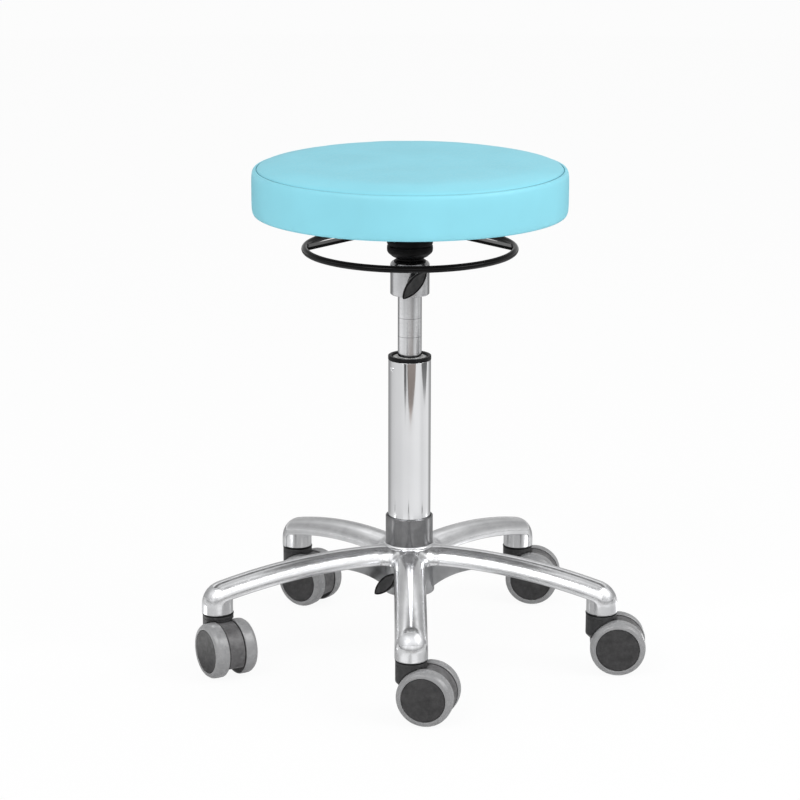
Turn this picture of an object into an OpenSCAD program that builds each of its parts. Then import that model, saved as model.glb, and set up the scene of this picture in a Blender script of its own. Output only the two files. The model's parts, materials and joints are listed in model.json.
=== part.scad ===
// Height-adjustable work stool on a five-arm castor base.
// Origin: on the floor, under the axis of the column. +Z is up and the front arm points along -Y.
// Lengths are in millimetres. The stool is drawn at the height that it usually stands at.

/* [Seat] */
// Diameter of the upholstered seat
seat_d = 367; // [300:1:420]
// Thickness of the upholstered seat, from its underside to its crown
seat_t = 57; // [45:1:80]
// Height of the crown of the top panel above its seam
crown_h = 5.7; // [3:0.1:12]
// Distance that the seam lies in from the side of the seat
seam_inset = 6.2; // [4:0.1:12]
// Thickness of the vinyl cover
cover_t = 1.2; // [0.8:0.1:2]
// Width of the edge of the cover that is turned under the board
cover_turn = 30; // [15:1:50]
// Thickness of the plywood board
board_t = 12; // [8:1:20]
// Foam between the edge of the board and the cover
side_foam = 10.3; // [6:0.1:20]

/* [Seat plate] */
// Diameter of the steel plate under the seat
plate_d = 150; // [110:1:200]
// Thickness of the steel plate
plate_t = 4; // [3:0.5:8]
// Diameter of the circle that the screws of the plate stand on
plate_screw_pcd = 124; // [90:1:140]
// Diameter of the screws that hold the plate to the board
plate_screw_d = 5; // [4:0.5:7]
// Length of the screws in the board
plate_screw_l = 10; // [6:1:12]
// Diameter of the heads of these screws
plate_screw_head_d = 10; // [8:0.5:12]
// Height of the heads of these screws
plate_screw_head_h = 3; // [2:0.5:5]

/* [Ring lever] */
// Diameter of the ring lever over the rod
ring_d = 251.6; // [200:1:300]
// Diameter of the rod of the ring
ring_rod_d = 8; // [6:0.5:12]
// Width of the flat cross-bar
bar_w = 20; // [12:1:21]
// Thickness of the flat cross-bar
bar_t = 3.5; // [2.5:0.1:5]
// Height that the cross-bar rises from the ring to the disc
bar_rise = 22; // [10:0.5:26]
// Diameter of the lever disc
lever_disc_d = 52; // [50:0.5:60]
// Thickness of the lever disc
lever_disc_t = 4; // [3:0.5:6]
// Diameter of the release pin
pin_d = 8; // [6:0.5:10]
// Length of the release pin that stands in the top of the gas spring
pin_depth = 22; // [15:1:30]

/* [Lever housing] */
// Diameter of the black housing under the lever
housing_d = 53.5; // [53:0.5:60]
// Height of the straight side of the housing
housing_side_h = 18; // [10:1:25]
// Height of the rounded underside of the housing
housing_round_h = 7; // [4:0.5:12]
// Diameter of the neck of the housing
housing_neck_d = 31.5; // [30:0.5:36]
// Height of the neck of the housing above the collar
housing_neck_h = 3.5; // [2:0.5:8]
// Depth of the neck's spigot in the collar
housing_spigot_h = 4; // [2:0.5:6]
// Free height between the housing and the cross-bar
lever_room = 7; // [4:0.5:12]
// Distance of each pillar from the axis, along X and along Y
pillar_xy = 15.2; // [14.5:0.1:17]
// Diameter of the shank of a pillar
pillar_d = 6.8; // [5:0.1:7]
// Diameter of the shoulder of a pillar, which the lever disc bears against
pillar_shoulder_d = 13; // [11:0.5:16]
// Length of the shoulder of a pillar
pillar_shoulder_h = 11.6; // [6:0.1:20]
// Depth of the shank of a pillar in the housing
pillar_depth = 14; // [8:1:16]

/* [Collar] */
// Diameter of the aluminium collar
collar_d = 45.6; // [42:0.2:52]
// Height of the collar
collar_h = 38.8; // [30:0.2:50]
// Chamfer at the top of the collar
collar_chamfer = 3; // [1:0.5:4]
// Chamfer at the bottom of the collar
collar_foot_chamfer = 1; // [0.5:0.5:3]
// Length of the gas spring that shows between the column and the collar
tube_shown = 72.7; // [62:0.1:100]

/* [Gas spring] */
// Diameter of the pressure tube
tube_d = 28; // [26:0.5:30]
// Wall of the pressure tube
tube_wall = 1.5; // [1:0.1:2.5]
// Length of the pressure tube below the collar
tube_l = 210.7; // [195:0.1:215]
// Depth of the closed head of the pressure tube below the collar
tube_head_l = 31; // [20:1:34]
// Narrowing of the cone at the top of the pressure tube, on the radius
cone_drop = 1; // [0.5:0.1:1.5]
// Length of the gland that closes the bottom of the pressure tube
gland_l = 22; // [15:1:26]
// Diameter of the piston rod
rod_d = 10; // [8:0.5:11]
// Length of the piston rod, from its lower end to the piston
rod_l = 244; // [240:1:246]
// Length of the piston
piston_l = 12; // [8:1:14]
// Depth of the seal groove of the piston
piston_groove = 1.2; // [0.5:0.1:2]

/* [Column] */
// Outer diameter of the chromed column
column_d = 50; // [46:0.5:54]
// Wall of the column
column_wall = 2; // [1.5:0.1:2.5]
// Length of the column
column_l = 281; // [260:1:290]
// Narrowing of the seat of the column in the base, on the radius
column_cone_drop = 0.6; // [0.3:0.1:0.8]
// Length of the guide bush
bush_l = 62; // [40:1:70]
// Height of the black cap over the end of the column
cap_h = 5; // [3:0.5:10]
// Distance that the cap stands out over the column
cap_lip = 0.3; // [0.1:0.1:1]
// Diameter of the opening of the cap
cap_bore_d = 34; // [31:0.5:40]
// Height that the guide bush rises into the cap
bush_rise = 3; // [1:0.5:4]

/* [Column foot] */
// Height of the bottom plate over the lower end of the column
foot_plate_rise = 7; // [6:0.5:9]
// Thickness of the bottom plate
foot_plate_t = 4; // [3:0.5:6]
// Diameter of the races of the thrust bearing
race_d = 24; // [20:0.5:30]
// Thickness of a race
race_t = 2.5; // [1.5:0.5:4]
// Diameter of the balls
ball_d = 4; // [3:0.5:5]
// Number of balls
ball_n = 10; // [6:1:12]
// Diameter of the shoulder of the rod
rod_shoulder_d = 18; // [14:0.5:22]
// Height of the shoulder of the rod
rod_shoulder_h = 3; // [2:0.5:5]
// Diameter of the rubber buffer
buffer_d = 24; // [18:0.5:30]
// Height of the rubber buffer
buffer_h = 18; // [10:1:24]
// Diameter of the retaining clip
clip_d = 18; // [15:0.5:24]
// Thickness of the retaining clip
clip_t = 1.5; // [1:0.1:2]
// Depth of the groove for the clip
clip_groove = 1.2; // [0.5:0.1:2]

/* [Wing screws] */
// Length of the wing grip
wing_l = 43; // [30:1:45]
// Width of the wing grip
wing_w = 15; // [12:0.5:18]
// Depth of the tips of the wing grip
wing_tip_t = 6; // [4:0.5:8]
// Depth of the whole wing grip, from its face to its foot
wing_t = 14; // [10:0.5:18]
// Diameter of the foot of the wing grip
wing_foot_d = 14; // [12:0.5:15]
// Width of the rim round the hollowed face
wing_rim = 1.6; // [1:0.1:3]
// Depth of the hollow of the face
wing_hollow = 1.2; // [0.6:0.1:2]
// Diameter of the screws
screw_d = 8; // [6:0.5:10]
// Thickness of the pressure pads
pad_t = 3; // [2:0.1:3.6]
// Free length of the screw between its seat and the wing grip
wing_room = 2; // [1:0.1:6]
// Direction of the upper screw, to the right of the front
upper_screw_az = 8; // [-30:1:30]
// Height of the upper screw over the foot of the collar
upper_screw_h = 18.5; // [12:0.5:24]
// Tilt of the wing of the upper screw from the horizontal
upper_wing_tilt = 50; // [0:5:85]
// Height of the lower screw over the foot of the hub
lower_screw_h = 19; // [12:0.5:19]
// Tilt of the wing of the lower screw from the horizontal
lower_wing_tilt = 45; // [0:5:85]
// Distance that the boss of the lower screw stands out of the hub
screw_boss_rise = 4; // [2:0.5:5]
// Diameter of the boss of the lower screw
screw_boss_d = 16; // [12:0.5:18]

/* [Base] */
// Radius of the circle that the castor stems stand on
stem_circle_r = 235.7; // [200:0.5:280]
// Width of an arm
arm_w = 37; // [32:0.5:42]
// Radius of the arch of an arm, along its ridge
arm_arch_r = 712; // [650:1:900]
// Height of the straight skirt under the round back of an arm
arm_skirt = 1; // [0.5:0.1:3]
// Wall of an arm
arm_wall = 4; // [3:0.5:5]
// Radius of the fillet between two arms, seen from above
hub_fillet_r = 14; // [10:0.5:16]
// Diameter of the hub below the arms
hub_d = 60; // [58:0.5:66]
// Height of the hub
hub_h = 60.3; // [50:0.1:62]
// Height of the ledge that carries the dark collar, over the ridges of the arms
hub_ledge = 2; // [1:0.1:4]
// Thickness of the webs under the arms
web_t = 5; // [3:0.5:7]
// Radius of the hollow lower edge of a web
web_arc_r = 113; // [90:1:130]
// Distance of the tip of a web from the axis
web_reach = 106; // [90:1:120]
// Depth of the straight side of the stem socket
socket_h = 16.5; // [12:0.5:22]
// Distance that the socket stands out over the arm
socket_lip = 0.3; // [0.2:0.1:1]
// Outer diameter of the dark collar round the column
hub_collar_d = 56; // [54:0.5:60]
// Height of the dark collar
hub_collar_h = 33; // [20:1:45]
// Gap between the dark collar and the column
hub_collar_gap = 0.6; // [0.3:0.1:1.5]
// Chamfer inside the top of the dark collar
hub_collar_chamfer = 1.2; // [0.4:0.1:2]

/* [Castors] */
// Diameter of the wheels
wheel_d = 65; // [55:1:75]
// Width over both wheels
castor_w = 54; // [48:1:60]
// Width of the castor body between the wheels
hood_w = 19; // [15:0.5:22]
// Gap between a wheel and the castor body
wheel_gap = 1; // [0.6:0.1:2]
// Distance of the axle behind the stem
castor_trail = 20; // [15:0.5:26]
// Height of the top of the castor body over the wheels
hood_rise = 4.4; // [3:0.1:8]
// Gap between the mudguard and the line of the tread
guard_inset = 1.5; // [0.8:0.1:3]
// Thickness of the mudguard
guard_t = 3; // [2:0.5:4]
// Angle of the end of the mudguard below the axle
guard_drop = 35; // [10:1:50]
// Thickness of the middle wall of the castor body
hood_wall = 6; // [4:0.5:8]
// Diameter of the stem boss
stem_boss_d = 36; // [30:0.5:38]
// Height of the straight side of the stem boss
stem_boss_h = 24.4; // [18:0.1:28]
// Bevel at the foot of the stem boss
stem_boss_bevel = 5; // [2:0.5:7]
// Diameter of the axle
axle_d = 8; // [6:0.5:10]
// Diameter of the axle boss
axle_boss_d = 16; // [13:0.5:20]
// Diameter of the upper part of the stem, in the arm
stem_d = 11; // [10:0.5:12]
// Length of the upper part of the stem
stem_l = 22; // [15:1:24]
// Diameter of the lower part of the stem, in the castor body
stem_foot_d = 10; // [8:0.5:11]
// Length of the lower part of the stem
stem_foot_l = 24; // [16:1:26]
// Thickness of the black washer under each arm end
washer_t = 2; // [1:0.1:4]
// Distance that the washer stands out over the stem boss
washer_lip = 0.4; // [0:0.1:1]
// Diameter of the flange of the stem
stem_flange_d = 18; // [15:0.5:22]
// Rounding of the outer shoulder of the tyre
tyre_round = 7; // [5:0.5:8]
// Thickness of the tyre on the rim
tyre_t = 5.5; // [4:0.5:7]
// Thickness of the inner edge of the tyre
tyre_edge = 0.5; // [0.3:0.1:1]
// Thickness of the outer lip of the tyre
tyre_lip = 2; // [1.5:0.5:3]
// Thickness of the face of a wheel disc
disc_t = 2.8; // [2:0.1:4]
// Depth of the face of a wheel disc in its tyre
disc_inset = 0.5; // [0.2:0.1:1.5]
// Width of the gap between a wheel disc and the lip of its tyre
disc_line = 0.3; // [0.2:0.1:0.6]
// Thickness of the rim of a wheel disc
disc_rim_t = 3; // [2:0.5:4]
// Number of ribs in a wheel disc
disc_rib_n = 6; // [4:1:10]
// Thickness of these ribs
disc_rib_t = 1.6; // [1:0.1:3]
// Direction of the axle of the front castor, from +Y towards +X
axle_az_front = 15; // [0:1:359]
// Direction of the axle of the right castor
axle_az_right = 4; // [0:1:359]
// Direction of the axle of the back right castor
axle_az_back_right = 9; // [0:1:359]
// Direction of the axle of the back left castor
axle_az_back_left = 36; // [0:1:359]
// Direction of the axle of the left castor
axle_az_left = 60; // [0:1:359]

/* [Hidden] */
$fn = 96;
// Radial clearance of what turns or slides
run_gap = 0.06;
// Radial gap of what is pressed, screwed or cast in place
seat_gap = 0.02;
// Axial gap between a moving piece and the piece that it bears on
bear_gap = 0.1;
// Radial room of the pillars in the lever disc, which lets the disc tilt
pillar_play = 1.2;
// Length that a cut runs past the surface that it opens
over = 1;
// Steps of a curved outline
curve_n = 20;
// Depth of the groove on the stem boss and on the pads
line_depth = 0.4;
// Height of that groove
line_h = 0.8;
// Distance of that groove from the top of the stem boss
line_drop = 3.5;

// Casters, from the floor up
arm_n = 5;
arm_step = 360 / arm_n;
half_step = arm_step / 2;
axle_az = [axle_az_front, axle_az_right, axle_az_back_right, axle_az_back_left, axle_az_left];
castor_names = ["front", "right", "back_right", "back_left", "left"];
wheel_r = wheel_d / 2;
axle_z = wheel_r;
hood_top_z = wheel_d + hood_rise;
arm_end_z = hood_top_z + washer_t;
wheel_y = hood_w / 2 + wheel_gap;
wheel_w = castor_w / 2 - wheel_y;
guard_r = wheel_r - guard_inset;
tyre_seat_r = wheel_r - tyre_t;
tyre_mouth_r = wheel_r - tyre_round;
disc_face_w = wheel_w - disc_inset;
axle_l = castor_w - 2 * (disc_inset + disc_t + bear_gap + line_h);
socket_depth = stem_l + over;

// Base
arm_r = arm_w / 2;
arch_start = (arm_r + hub_fillet_r) / tan(half_step);
arch_line_r = arm_arch_r - arm_r;
arm_end_cz = arm_end_z + socket_h;
arch_end_angle = acos((stem_circle_r - arch_start) / arch_line_r);
arch_cz = arm_end_cz - arch_line_r * sin(arch_end_angle);
ridge_z = arch_cz + arm_arch_r;
arm_line_z = ridge_z - arm_r;
arm_edge_z = arm_line_z - arm_skirt;
hub_top_z = ridge_z + hub_ledge;
hub_z = hub_top_z - hub_h;
socket_r = arm_r + socket_lip;
fillet_centre_r = (arm_r + hub_fillet_r) / sin(half_step);
channel_r = arm_r - arm_wall;
channel_end_angle = acos((stem_circle_r - socket_r / 2 - arch_start) / arch_line_r);
arm_root = hub_collar_d / 2 - arm_skirt;
arch_root_angle = 90 + asin((arch_start - arm_root) / arch_line_r);
channel_root_angle = 90 + asin((arch_start - hub_d / 2 - over) / arch_line_r);
hub_dome_r = norm([arch_start, arm_r]) - over;
web_root_r = (hub_d + column_d) / 4;
web_rise = arm_skirt + channel_r + arm_wall / 2;
web_edge_z = arch_cz - arm_skirt + sqrt(pow(arch_line_r, 2) - pow(web_reach - arch_start, 2));

// Column
column_r = column_d / 2;
column_bore_r = column_r - column_wall;
column_z = hub_z + hub_ledge;
column_top_z = column_z + column_l;
column_foot_r = column_r - column_cone_drop;
cone_top_z = hub_top_z - hub_ledge;
cap_top_z = column_top_z + cap_h;
bush_z = column_top_z - bush_l;
tube_r = tube_d / 2;
hub_collar_top_z = hub_top_z + hub_collar_h;

// Foot of the column, from the bottom plate up
foot_plate_z = column_z + foot_plate_rise;
race_z = foot_plate_z + foot_plate_t;
ball_cz = race_z + race_t + bear_gap + ball_d / 2;
upper_race_z = ball_cz + ball_d / 2;
rod_shoulder_z = upper_race_z + race_t;
buffer_z = rod_shoulder_z + rod_shoulder_h;
clip_z = foot_plate_z - bear_gap - clip_t;
rod_r = rod_d / 2;
rod_z = column_z + over;
piston_z = rod_z + rod_l;
ball_circle_r = (race_d / 2 + rod_r) / 2;

// Collar, housing and lever
collar_r = collar_d / 2;
collar_z = cap_top_z + tube_shown;
collar_top_z = collar_z + collar_h;
tube_z = collar_z - tube_l;
tube_top_z = collar_top_z - housing_spigot_h;
tube_bore_r = tube_r - tube_wall;
tube_head_z = collar_z - tube_head_l;
cone_top_r = tube_r - cone_drop;
neck_r = housing_neck_d / 2;
housing_r = housing_d / 2;
housing_round_z = collar_top_z + housing_neck_h;
housing_side_z = housing_round_z + housing_round_h;
housing_top_z = housing_side_z + housing_side_h;
bar_z = housing_top_z + lever_room;
lever_disc_z = bar_z + bar_t;
lever_top_z = lever_disc_z + lever_disc_t;
shoulder_z = lever_top_z + bear_gap;
plate_z = shoulder_z + pillar_shoulder_h;
board_z = plate_z + plate_t;
ring_r = (ring_d - ring_rod_d) / 2;
ring_z = bar_z + bar_t / 2 - bar_rise;
pin_r = pin_d / 2;
pin_z = tube_top_z - pin_depth;
pin_top_z = bar_z - bear_gap;
pillar_hole_d = pillar_d + 2 * pillar_play;

// Seat
seat_r = seat_d / 2;
seat_z = board_z - cover_t;
seat_top_z = seat_z + seat_t;
seam_r = seat_r - seam_inset;
seam_z = seat_top_z - crown_h;
board_r = seat_r - cover_t - side_foam;
flap_r = board_r - cover_turn + side_foam;
crown_power = 8;
crown_soft = 1.6;
side_power = 5;

// Wing screws
screw_r = screw_d / 2;
wing_end_r = wing_l / 2;
wing_bow_r = (pow(wing_l / 2, 2) + pow(wing_w / 2, 2)) / wing_w;
wing_inner_bow_r = wing_bow_r - wing_rim;
wing_hollow_r = (pow(wing_l / 2, 2) + pow(wing_hollow, 2)) / (2 * wing_hollow);
upper_screw_z = collar_z + upper_screw_h;
lower_screw_z = hub_z + lower_screw_h;
lower_screw_az = -half_step;
lower_cone_share = (lower_screw_z - column_z) / (cone_top_z - column_z);
lower_pad_r = column_foot_r + column_cone_drop * lower_cone_share + bear_gap;
upper_cone_share = (upper_screw_z - collar_z) / (tube_top_z - collar_z);
upper_pad_r = tube_r - cone_drop * upper_cone_share + bear_gap;
upper_seat_r = collar_r + wing_room;
lower_seat_r = hub_d / 2 + screw_boss_rise + wing_room;

// Colours
turquoise = [0.60, 0.86, 0.91];
chrome = [0.82, 0.83, 0.85];
aluminium = [0.75, 0.76, 0.78];
steel = [0.55, 0.56, 0.58];
dark_grey = [0.28, 0.28, 0.29];
mid_grey = [0.60, 0.60, 0.60];
black = [0.06, 0.06, 0.06];
plywood = [0.80, 0.66, 0.45];
foam = [0.93, 0.90, 0.78];
brass = [0.75, 0.62, 0.32];

// Places its children at an azimuth, counted from the front (-Y) towards +X, with their +X outwards
module towards(azimuth) {
    rotate([0, 0, azimuth - 90]) children();
}

// Places its children on the stem axis of every arm
module at_each_stem() {
    for (k = [0 : arm_n - 1]) towards(k * arm_step) translate([stem_circle_r, 0, 0]) children();
}

// Places its children in castor k: stem axis at the origin, axle behind it along +X
module in_castor(k) {
    towards(k * arm_step) translate([stem_circle_r, 0, 0])
        rotate([0, 0, 90 - k * arm_step - axle_az[k]]) children();
}

// Ring with a rectangular section
module ring(outer_r, inner_r, h) {
    difference() {
        cylinder(r = outer_r, h = h);
        translate([0, 0, -over]) cylinder(r = inner_r, h = h + 2 * over);
    }
}

// Section of an arm or of its channel: a round back over a straight skirt.
// x is the distance from the centre of the arch, y is across the arm.
module arm_section(r, skirt) {
    intersection() {
        translate([arch_line_r, 0]) circle(r = r);
        translate([arch_line_r - skirt, -r - over]) square([r + skirt + over, 2 * r + 2 * over]);
    }
}

// Stretch of an arm between two angles on its arch
module arched(from_angle, to_angle) {
    translate([arch_start, 0, arch_cz]) rotate([90, 0, 0]) rotate([0, 0, from_angle])
        rotate_extrude(angle = to_angle - from_angle, $fn = 360) children();
}

// End of an arm: a round socket under a dome
module socket() {
    intersection() {
        translate([stem_circle_r, 0, arm_end_cz]) sphere(r = socket_r);
        translate([stem_circle_r, 0, arm_end_cz]) cylinder(r = socket_r + over, h = socket_r + over);
    }
    translate([stem_circle_r, 0, arm_end_z]) cylinder(r = socket_r, h = socket_h);
}

// Low dome round the hub, notched between the arms
module hub_dome() {
    difference() {
        rotate_extrude() polygon([
            [0, arm_line_z + over], [hub_dome_r, arm_line_z + over], [hub_dome_r, arm_line_z + arm_wall],
            [hub_d / 2 + hub_ledge, ridge_z - hub_ledge], [0, ridge_z - hub_ledge]]);
        for (k = [0 : arm_n - 1]) towards(half_step + k * arm_step)
            translate([fillet_centre_r, 0, arm_line_z]) cylinder(r = hub_fillet_r + over / 2, h = arm_w);
    }
}

// Web under an arm, with a hollow lower edge that runs from the hub to the arm
module web() {
    rotate([90, 0, 0]) translate([0, 0, -web_t / 2]) linear_extrude(web_t) difference() {
        polygon([[web_root_r, hub_z], [web_reach, hub_z],
                 [web_reach, web_edge_z + web_rise], [web_root_r, arm_edge_z + web_rise]]);
        translate([web_reach, web_edge_z - web_arc_r]) circle(r = web_arc_r, $fn = 180);
    }
}

module star_base() {
    color(aluminium) difference() {
        union() {
            for (k = [0 : arm_n - 1]) towards(k * arm_step) {
                difference() {
                    arched(arch_end_angle, arch_root_angle) arm_section(arm_r, arm_skirt);
                    arched(channel_end_angle, channel_root_angle) arm_section(channel_r, arm_skirt + over);
                }
                socket();
                web();
            }
            hub_dome();
            translate([0, 0, hub_z]) cylinder(d = hub_d, h = arm_line_z + arm_r / 2 - hub_z);
            translate([0, 0, arm_line_z + arm_wall])
                cylinder(d = hub_collar_d + 2 * hub_collar_gap, h = hub_top_z - arm_line_z - arm_wall);
            towards(lower_screw_az) translate([0, 0, lower_screw_z]) rotate([0, 90, 0])
                cylinder(d = screw_boss_d, h = hub_d / 2 + screw_boss_rise);
        }
        rotate_extrude() polygon([
            [0, hub_z - over], [column_bore_r, hub_z - over], [column_bore_r, column_z],
            [column_foot_r + seat_gap, column_z], [column_r + seat_gap, cone_top_z],
            [column_r + seat_gap, hub_top_z + over], [0, hub_top_z + over]]);
        towards(lower_screw_az) translate([0, 0, lower_screw_z]) rotate([0, 90, 0])
            cylinder(r = screw_r + run_gap, h = hub_d);
        at_each_stem() translate([0, 0, arm_end_z - over])
            cylinder(r = stem_d / 2 + seat_gap, h = socket_depth + over);
    }
}

module hub_collar() {
    inner_r = column_r + hub_collar_gap;
    outer_r = hub_collar_d / 2;
    color(dark_grey) rotate_extrude() polygon([
        [inner_r, hub_top_z], [outer_r, hub_top_z],
        [outer_r, hub_collar_top_z - hub_collar_gap],
        [outer_r - hub_collar_gap, hub_collar_top_z],
        [inner_r + hub_collar_chamfer, hub_collar_top_z],
        [inner_r, hub_collar_top_z - hub_collar_chamfer]]);
}

module column_tube() {
    color(chrome) rotate_extrude() polygon([
        [column_bore_r, column_z], [column_foot_r, column_z], [column_r, cone_top_z],
        [column_r, column_top_z], [column_bore_r, column_top_z]]);
}

module column_cap() {
    cap_r = column_r + cap_lip;
    color(black) rotate_extrude() polygon([
        [cap_bore_d / 2, column_top_z], [cap_r, column_top_z],
        [cap_r, cap_top_z - cap_h / 5], [cap_r - cap_h / 5, cap_top_z],
        [cap_bore_d / 2 + cap_h / 5, cap_top_z], [cap_bore_d / 2, cap_top_z - cap_h / 5]]);
}

module guide_bush() {
    color(mid_grey) difference() {
        union() {
            translate([0, 0, bush_z]) cylinder(r = column_bore_r - seat_gap, h = bush_l);
            translate([0, 0, column_top_z - over])
                cylinder(r = cap_bore_d / 2 - seat_gap, h = bush_rise + over);
        }
        translate([0, 0, bush_z - over])
            cylinder(r = tube_r + run_gap, h = bush_l + bush_rise + 2 * over);
    }
}

module bottom_plate() {
    color(steel) translate([0, 0, foot_plate_z])
        ring(column_bore_r - seat_gap, rod_r + run_gap, foot_plate_t);
}

module bearing_lower_race() {
    color(steel) translate([0, 0, race_z]) ring(race_d / 2, rod_r + run_gap, race_t);
}

module caster_stems() {
    color(steel) at_each_stem() {
        translate([0, 0, arm_end_z]) cylinder(d = stem_d, h = stem_l - over);
        translate([0, 0, arm_end_z + stem_l - over])
            cylinder(d1 = stem_d, d2 = stem_d - 2 * over, h = over);
        translate([0, 0, hood_top_z + bear_gap])
            cylinder(d = stem_flange_d, h = washer_t - bear_gap);
        translate([0, 0, hood_top_z - stem_foot_l])
            cylinder(d = stem_foot_d, h = stem_foot_l + bear_gap);
    }
}

module caster_washers() {
    color(black) at_each_stem() translate([0, 0, hood_top_z + bear_gap])
        ring(stem_boss_d / 2 + washer_lip, stem_flange_d / 2 + seat_gap, washer_t - bear_gap);
}

module piston_rod() {
    color(chrome) {
        difference() {
            translate([0, 0, rod_z]) cylinder(r = rod_r, h = rod_l);
            translate([0, 0, clip_z - seat_gap])
                ring(rod_r + over, rod_r - clip_groove, clip_t + 2 * seat_gap);
        }
        translate([0, 0, rod_shoulder_z]) cylinder(d = rod_shoulder_d, h = rod_shoulder_h);
        translate([0, 0, piston_z]) cylinder(r = rod_r / 2, h = piston_l + over);
        translate([0, 0, piston_z + piston_l + seat_gap]) cylinder(r = rod_r, h = over);
    }
}

module piston() {
    piston_r = tube_bore_r - run_gap;
    color(black) translate([0, 0, piston_z + seat_gap]) difference() {
        ring(piston_r, rod_r / 2 + seat_gap, piston_l - seat_gap);
        translate([0, 0, piston_l / 3]) ring(piston_r + over, piston_r - piston_groove, piston_l / 3);
    }
}

module rod_clip() {
    slot_w = rod_d - 2 * clip_groove;
    color(steel) translate([0, 0, clip_z]) difference() {
        ring(clip_d / 2, rod_r - clip_groove + seat_gap, clip_t);
        translate([0, -slot_w / 2, -over]) cube([clip_d, slot_w, clip_t + 2 * over]);
    }
}

// Upper race, and the balls in their flat cage
module thrust_bearing() {
    color(steel) {
        translate([0, 0, upper_race_z + seat_gap])
            ring(race_d / 2, rod_r + seat_gap, race_t - seat_gap);
        translate([0, 0, ball_cz - ball_d / 8])
            ring(ball_circle_r + ball_d / 4, ball_circle_r - ball_d / 4, ball_d / 4);
        for (k = [0 : ball_n - 1]) rotate([0, 0, k * 360 / ball_n])
            translate([ball_circle_r, 0, ball_cz]) sphere(d = ball_d, $fn = 24);
    }
}

module rubber_buffer() {
    color(black) translate([0, 0, buffer_z]) difference() {
        ring(buffer_d / 2, rod_r + seat_gap, buffer_h);
        translate([0, 0, buffer_h / 3])
            ring(buffer_d, buffer_d / 2 - buffer_h / 9, buffer_h / 3);
    }
}

module pressure_tube() {
    color(chrome) difference() {
        union() {
            translate([0, 0, tube_z]) cylinder(r = tube_r, h = tube_l);
            translate([0, 0, collar_z]) cylinder(r1 = tube_r, r2 = cone_top_r, h = tube_top_z - collar_z);
        }
        translate([0, 0, tube_z - over]) cylinder(r = tube_bore_r, h = tube_head_z - tube_z + over);
        translate([0, 0, pin_z - lever_room]) cylinder(r = pin_r + run_gap, h = tube_top_z - pin_z + lever_room + over);
    }
}

module rod_gland() {
    color(black) translate([0, 0, tube_z + over])
        ring(tube_bore_r - seat_gap, rod_r + run_gap, gland_l - over);
}

module taper_collar() {
    color(aluminium) difference() {
        rotate_extrude() polygon([
            [0, collar_z], [collar_r - collar_foot_chamfer, collar_z],
            [collar_r, collar_z + collar_foot_chamfer],
            [collar_r, collar_top_z - collar_chamfer], [collar_r - collar_chamfer, collar_top_z],
            [0, collar_top_z]]);
        translate([0, 0, collar_z])
            cylinder(r1 = tube_r + seat_gap, r2 = cone_top_r + seat_gap, h = tube_top_z - collar_z);
        translate([0, 0, collar_z - over]) cylinder(r = tube_r + seat_gap, h = 2 * over);
        translate([0, 0, tube_top_z - seat_gap]) cylinder(r = neck_r + seat_gap, h = housing_spigot_h + over);
        towards(upper_screw_az) translate([0, 0, upper_screw_z]) rotate([0, 90, 0])
            cylinder(r = screw_r + run_gap, h = collar_d);
    }
}

// Places its children on the axis of each pillar
module at_each_pillar() {
    for (x = [-pillar_xy, pillar_xy], y = [-pillar_xy, pillar_xy]) translate([x, y, 0]) children();
}

module lever_housing() {
    color(black) difference() {
        rotate_extrude() {
            translate([0, tube_top_z]) square([neck_r, housing_side_z - tube_top_z]);
            translate([0, housing_side_z]) square([housing_r, housing_side_h]);
            intersection() {
                translate([housing_r - housing_round_h, housing_side_z]) circle(r = housing_round_h);
                translate([0, housing_round_z]) square([housing_r, housing_round_h]);
            }
            translate([0, housing_round_z]) square([housing_r - housing_round_h, housing_round_h]);
        }
        translate([0, 0, tube_top_z - over]) cylinder(r = pin_r + line_h, h = housing_top_z);
        translate([0, 0, housing_side_z]) cylinder(r = neck_r, h = housing_side_h + over);
        at_each_pillar() translate([0, 0, housing_top_z - pillar_depth])
            cylinder(d = pillar_d + 2 * seat_gap, h = pillar_depth + over);
    }
}

module release_pin() {
    color(chrome) difference() {
        union() {
            translate([0, 0, pin_z]) cylinder(r = pin_r, h = pin_top_z - pin_r / 2 - pin_z);
            translate([0, 0, pin_top_z - pin_r / 2]) cylinder(r1 = pin_r, r2 = pin_r / 2, h = pin_r / 2);
        }
        translate([0, 0, pin_z + pin_r]) ring(pin_d, pin_r - line_depth, line_h);
    }
}

// Round rod bent to a ring, and the flat bar across it, cranked up to the disc
module ring_lever() {
    flat_r = lever_disc_d / 2;
    end_z = ring_z - bar_t / 2;
    color(black) {
        translate([0, 0, ring_z]) rotate_extrude() translate([ring_r, 0]) circle(d = ring_rod_d, $fn = 32);
        rotate([90, 0, 0]) translate([0, 0, -bar_w / 2]) linear_extrude(bar_w) polygon([
            [-ring_r, end_z], [-flat_r, bar_z], [flat_r, bar_z], [ring_r, end_z],
            [ring_r, end_z + bar_t], [flat_r, bar_z + bar_t], [-flat_r, bar_z + bar_t], [-ring_r, end_z + bar_t]]);
    }
}

module lever_disc() {
    color(black) translate([0, 0, lever_disc_z]) difference() {
        cylinder(d = lever_disc_d, h = lever_disc_t);
        at_each_pillar() translate([0, 0, -over]) cylinder(d = pillar_hole_d, h = lever_disc_t + 2 * over);
    }
}

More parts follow.
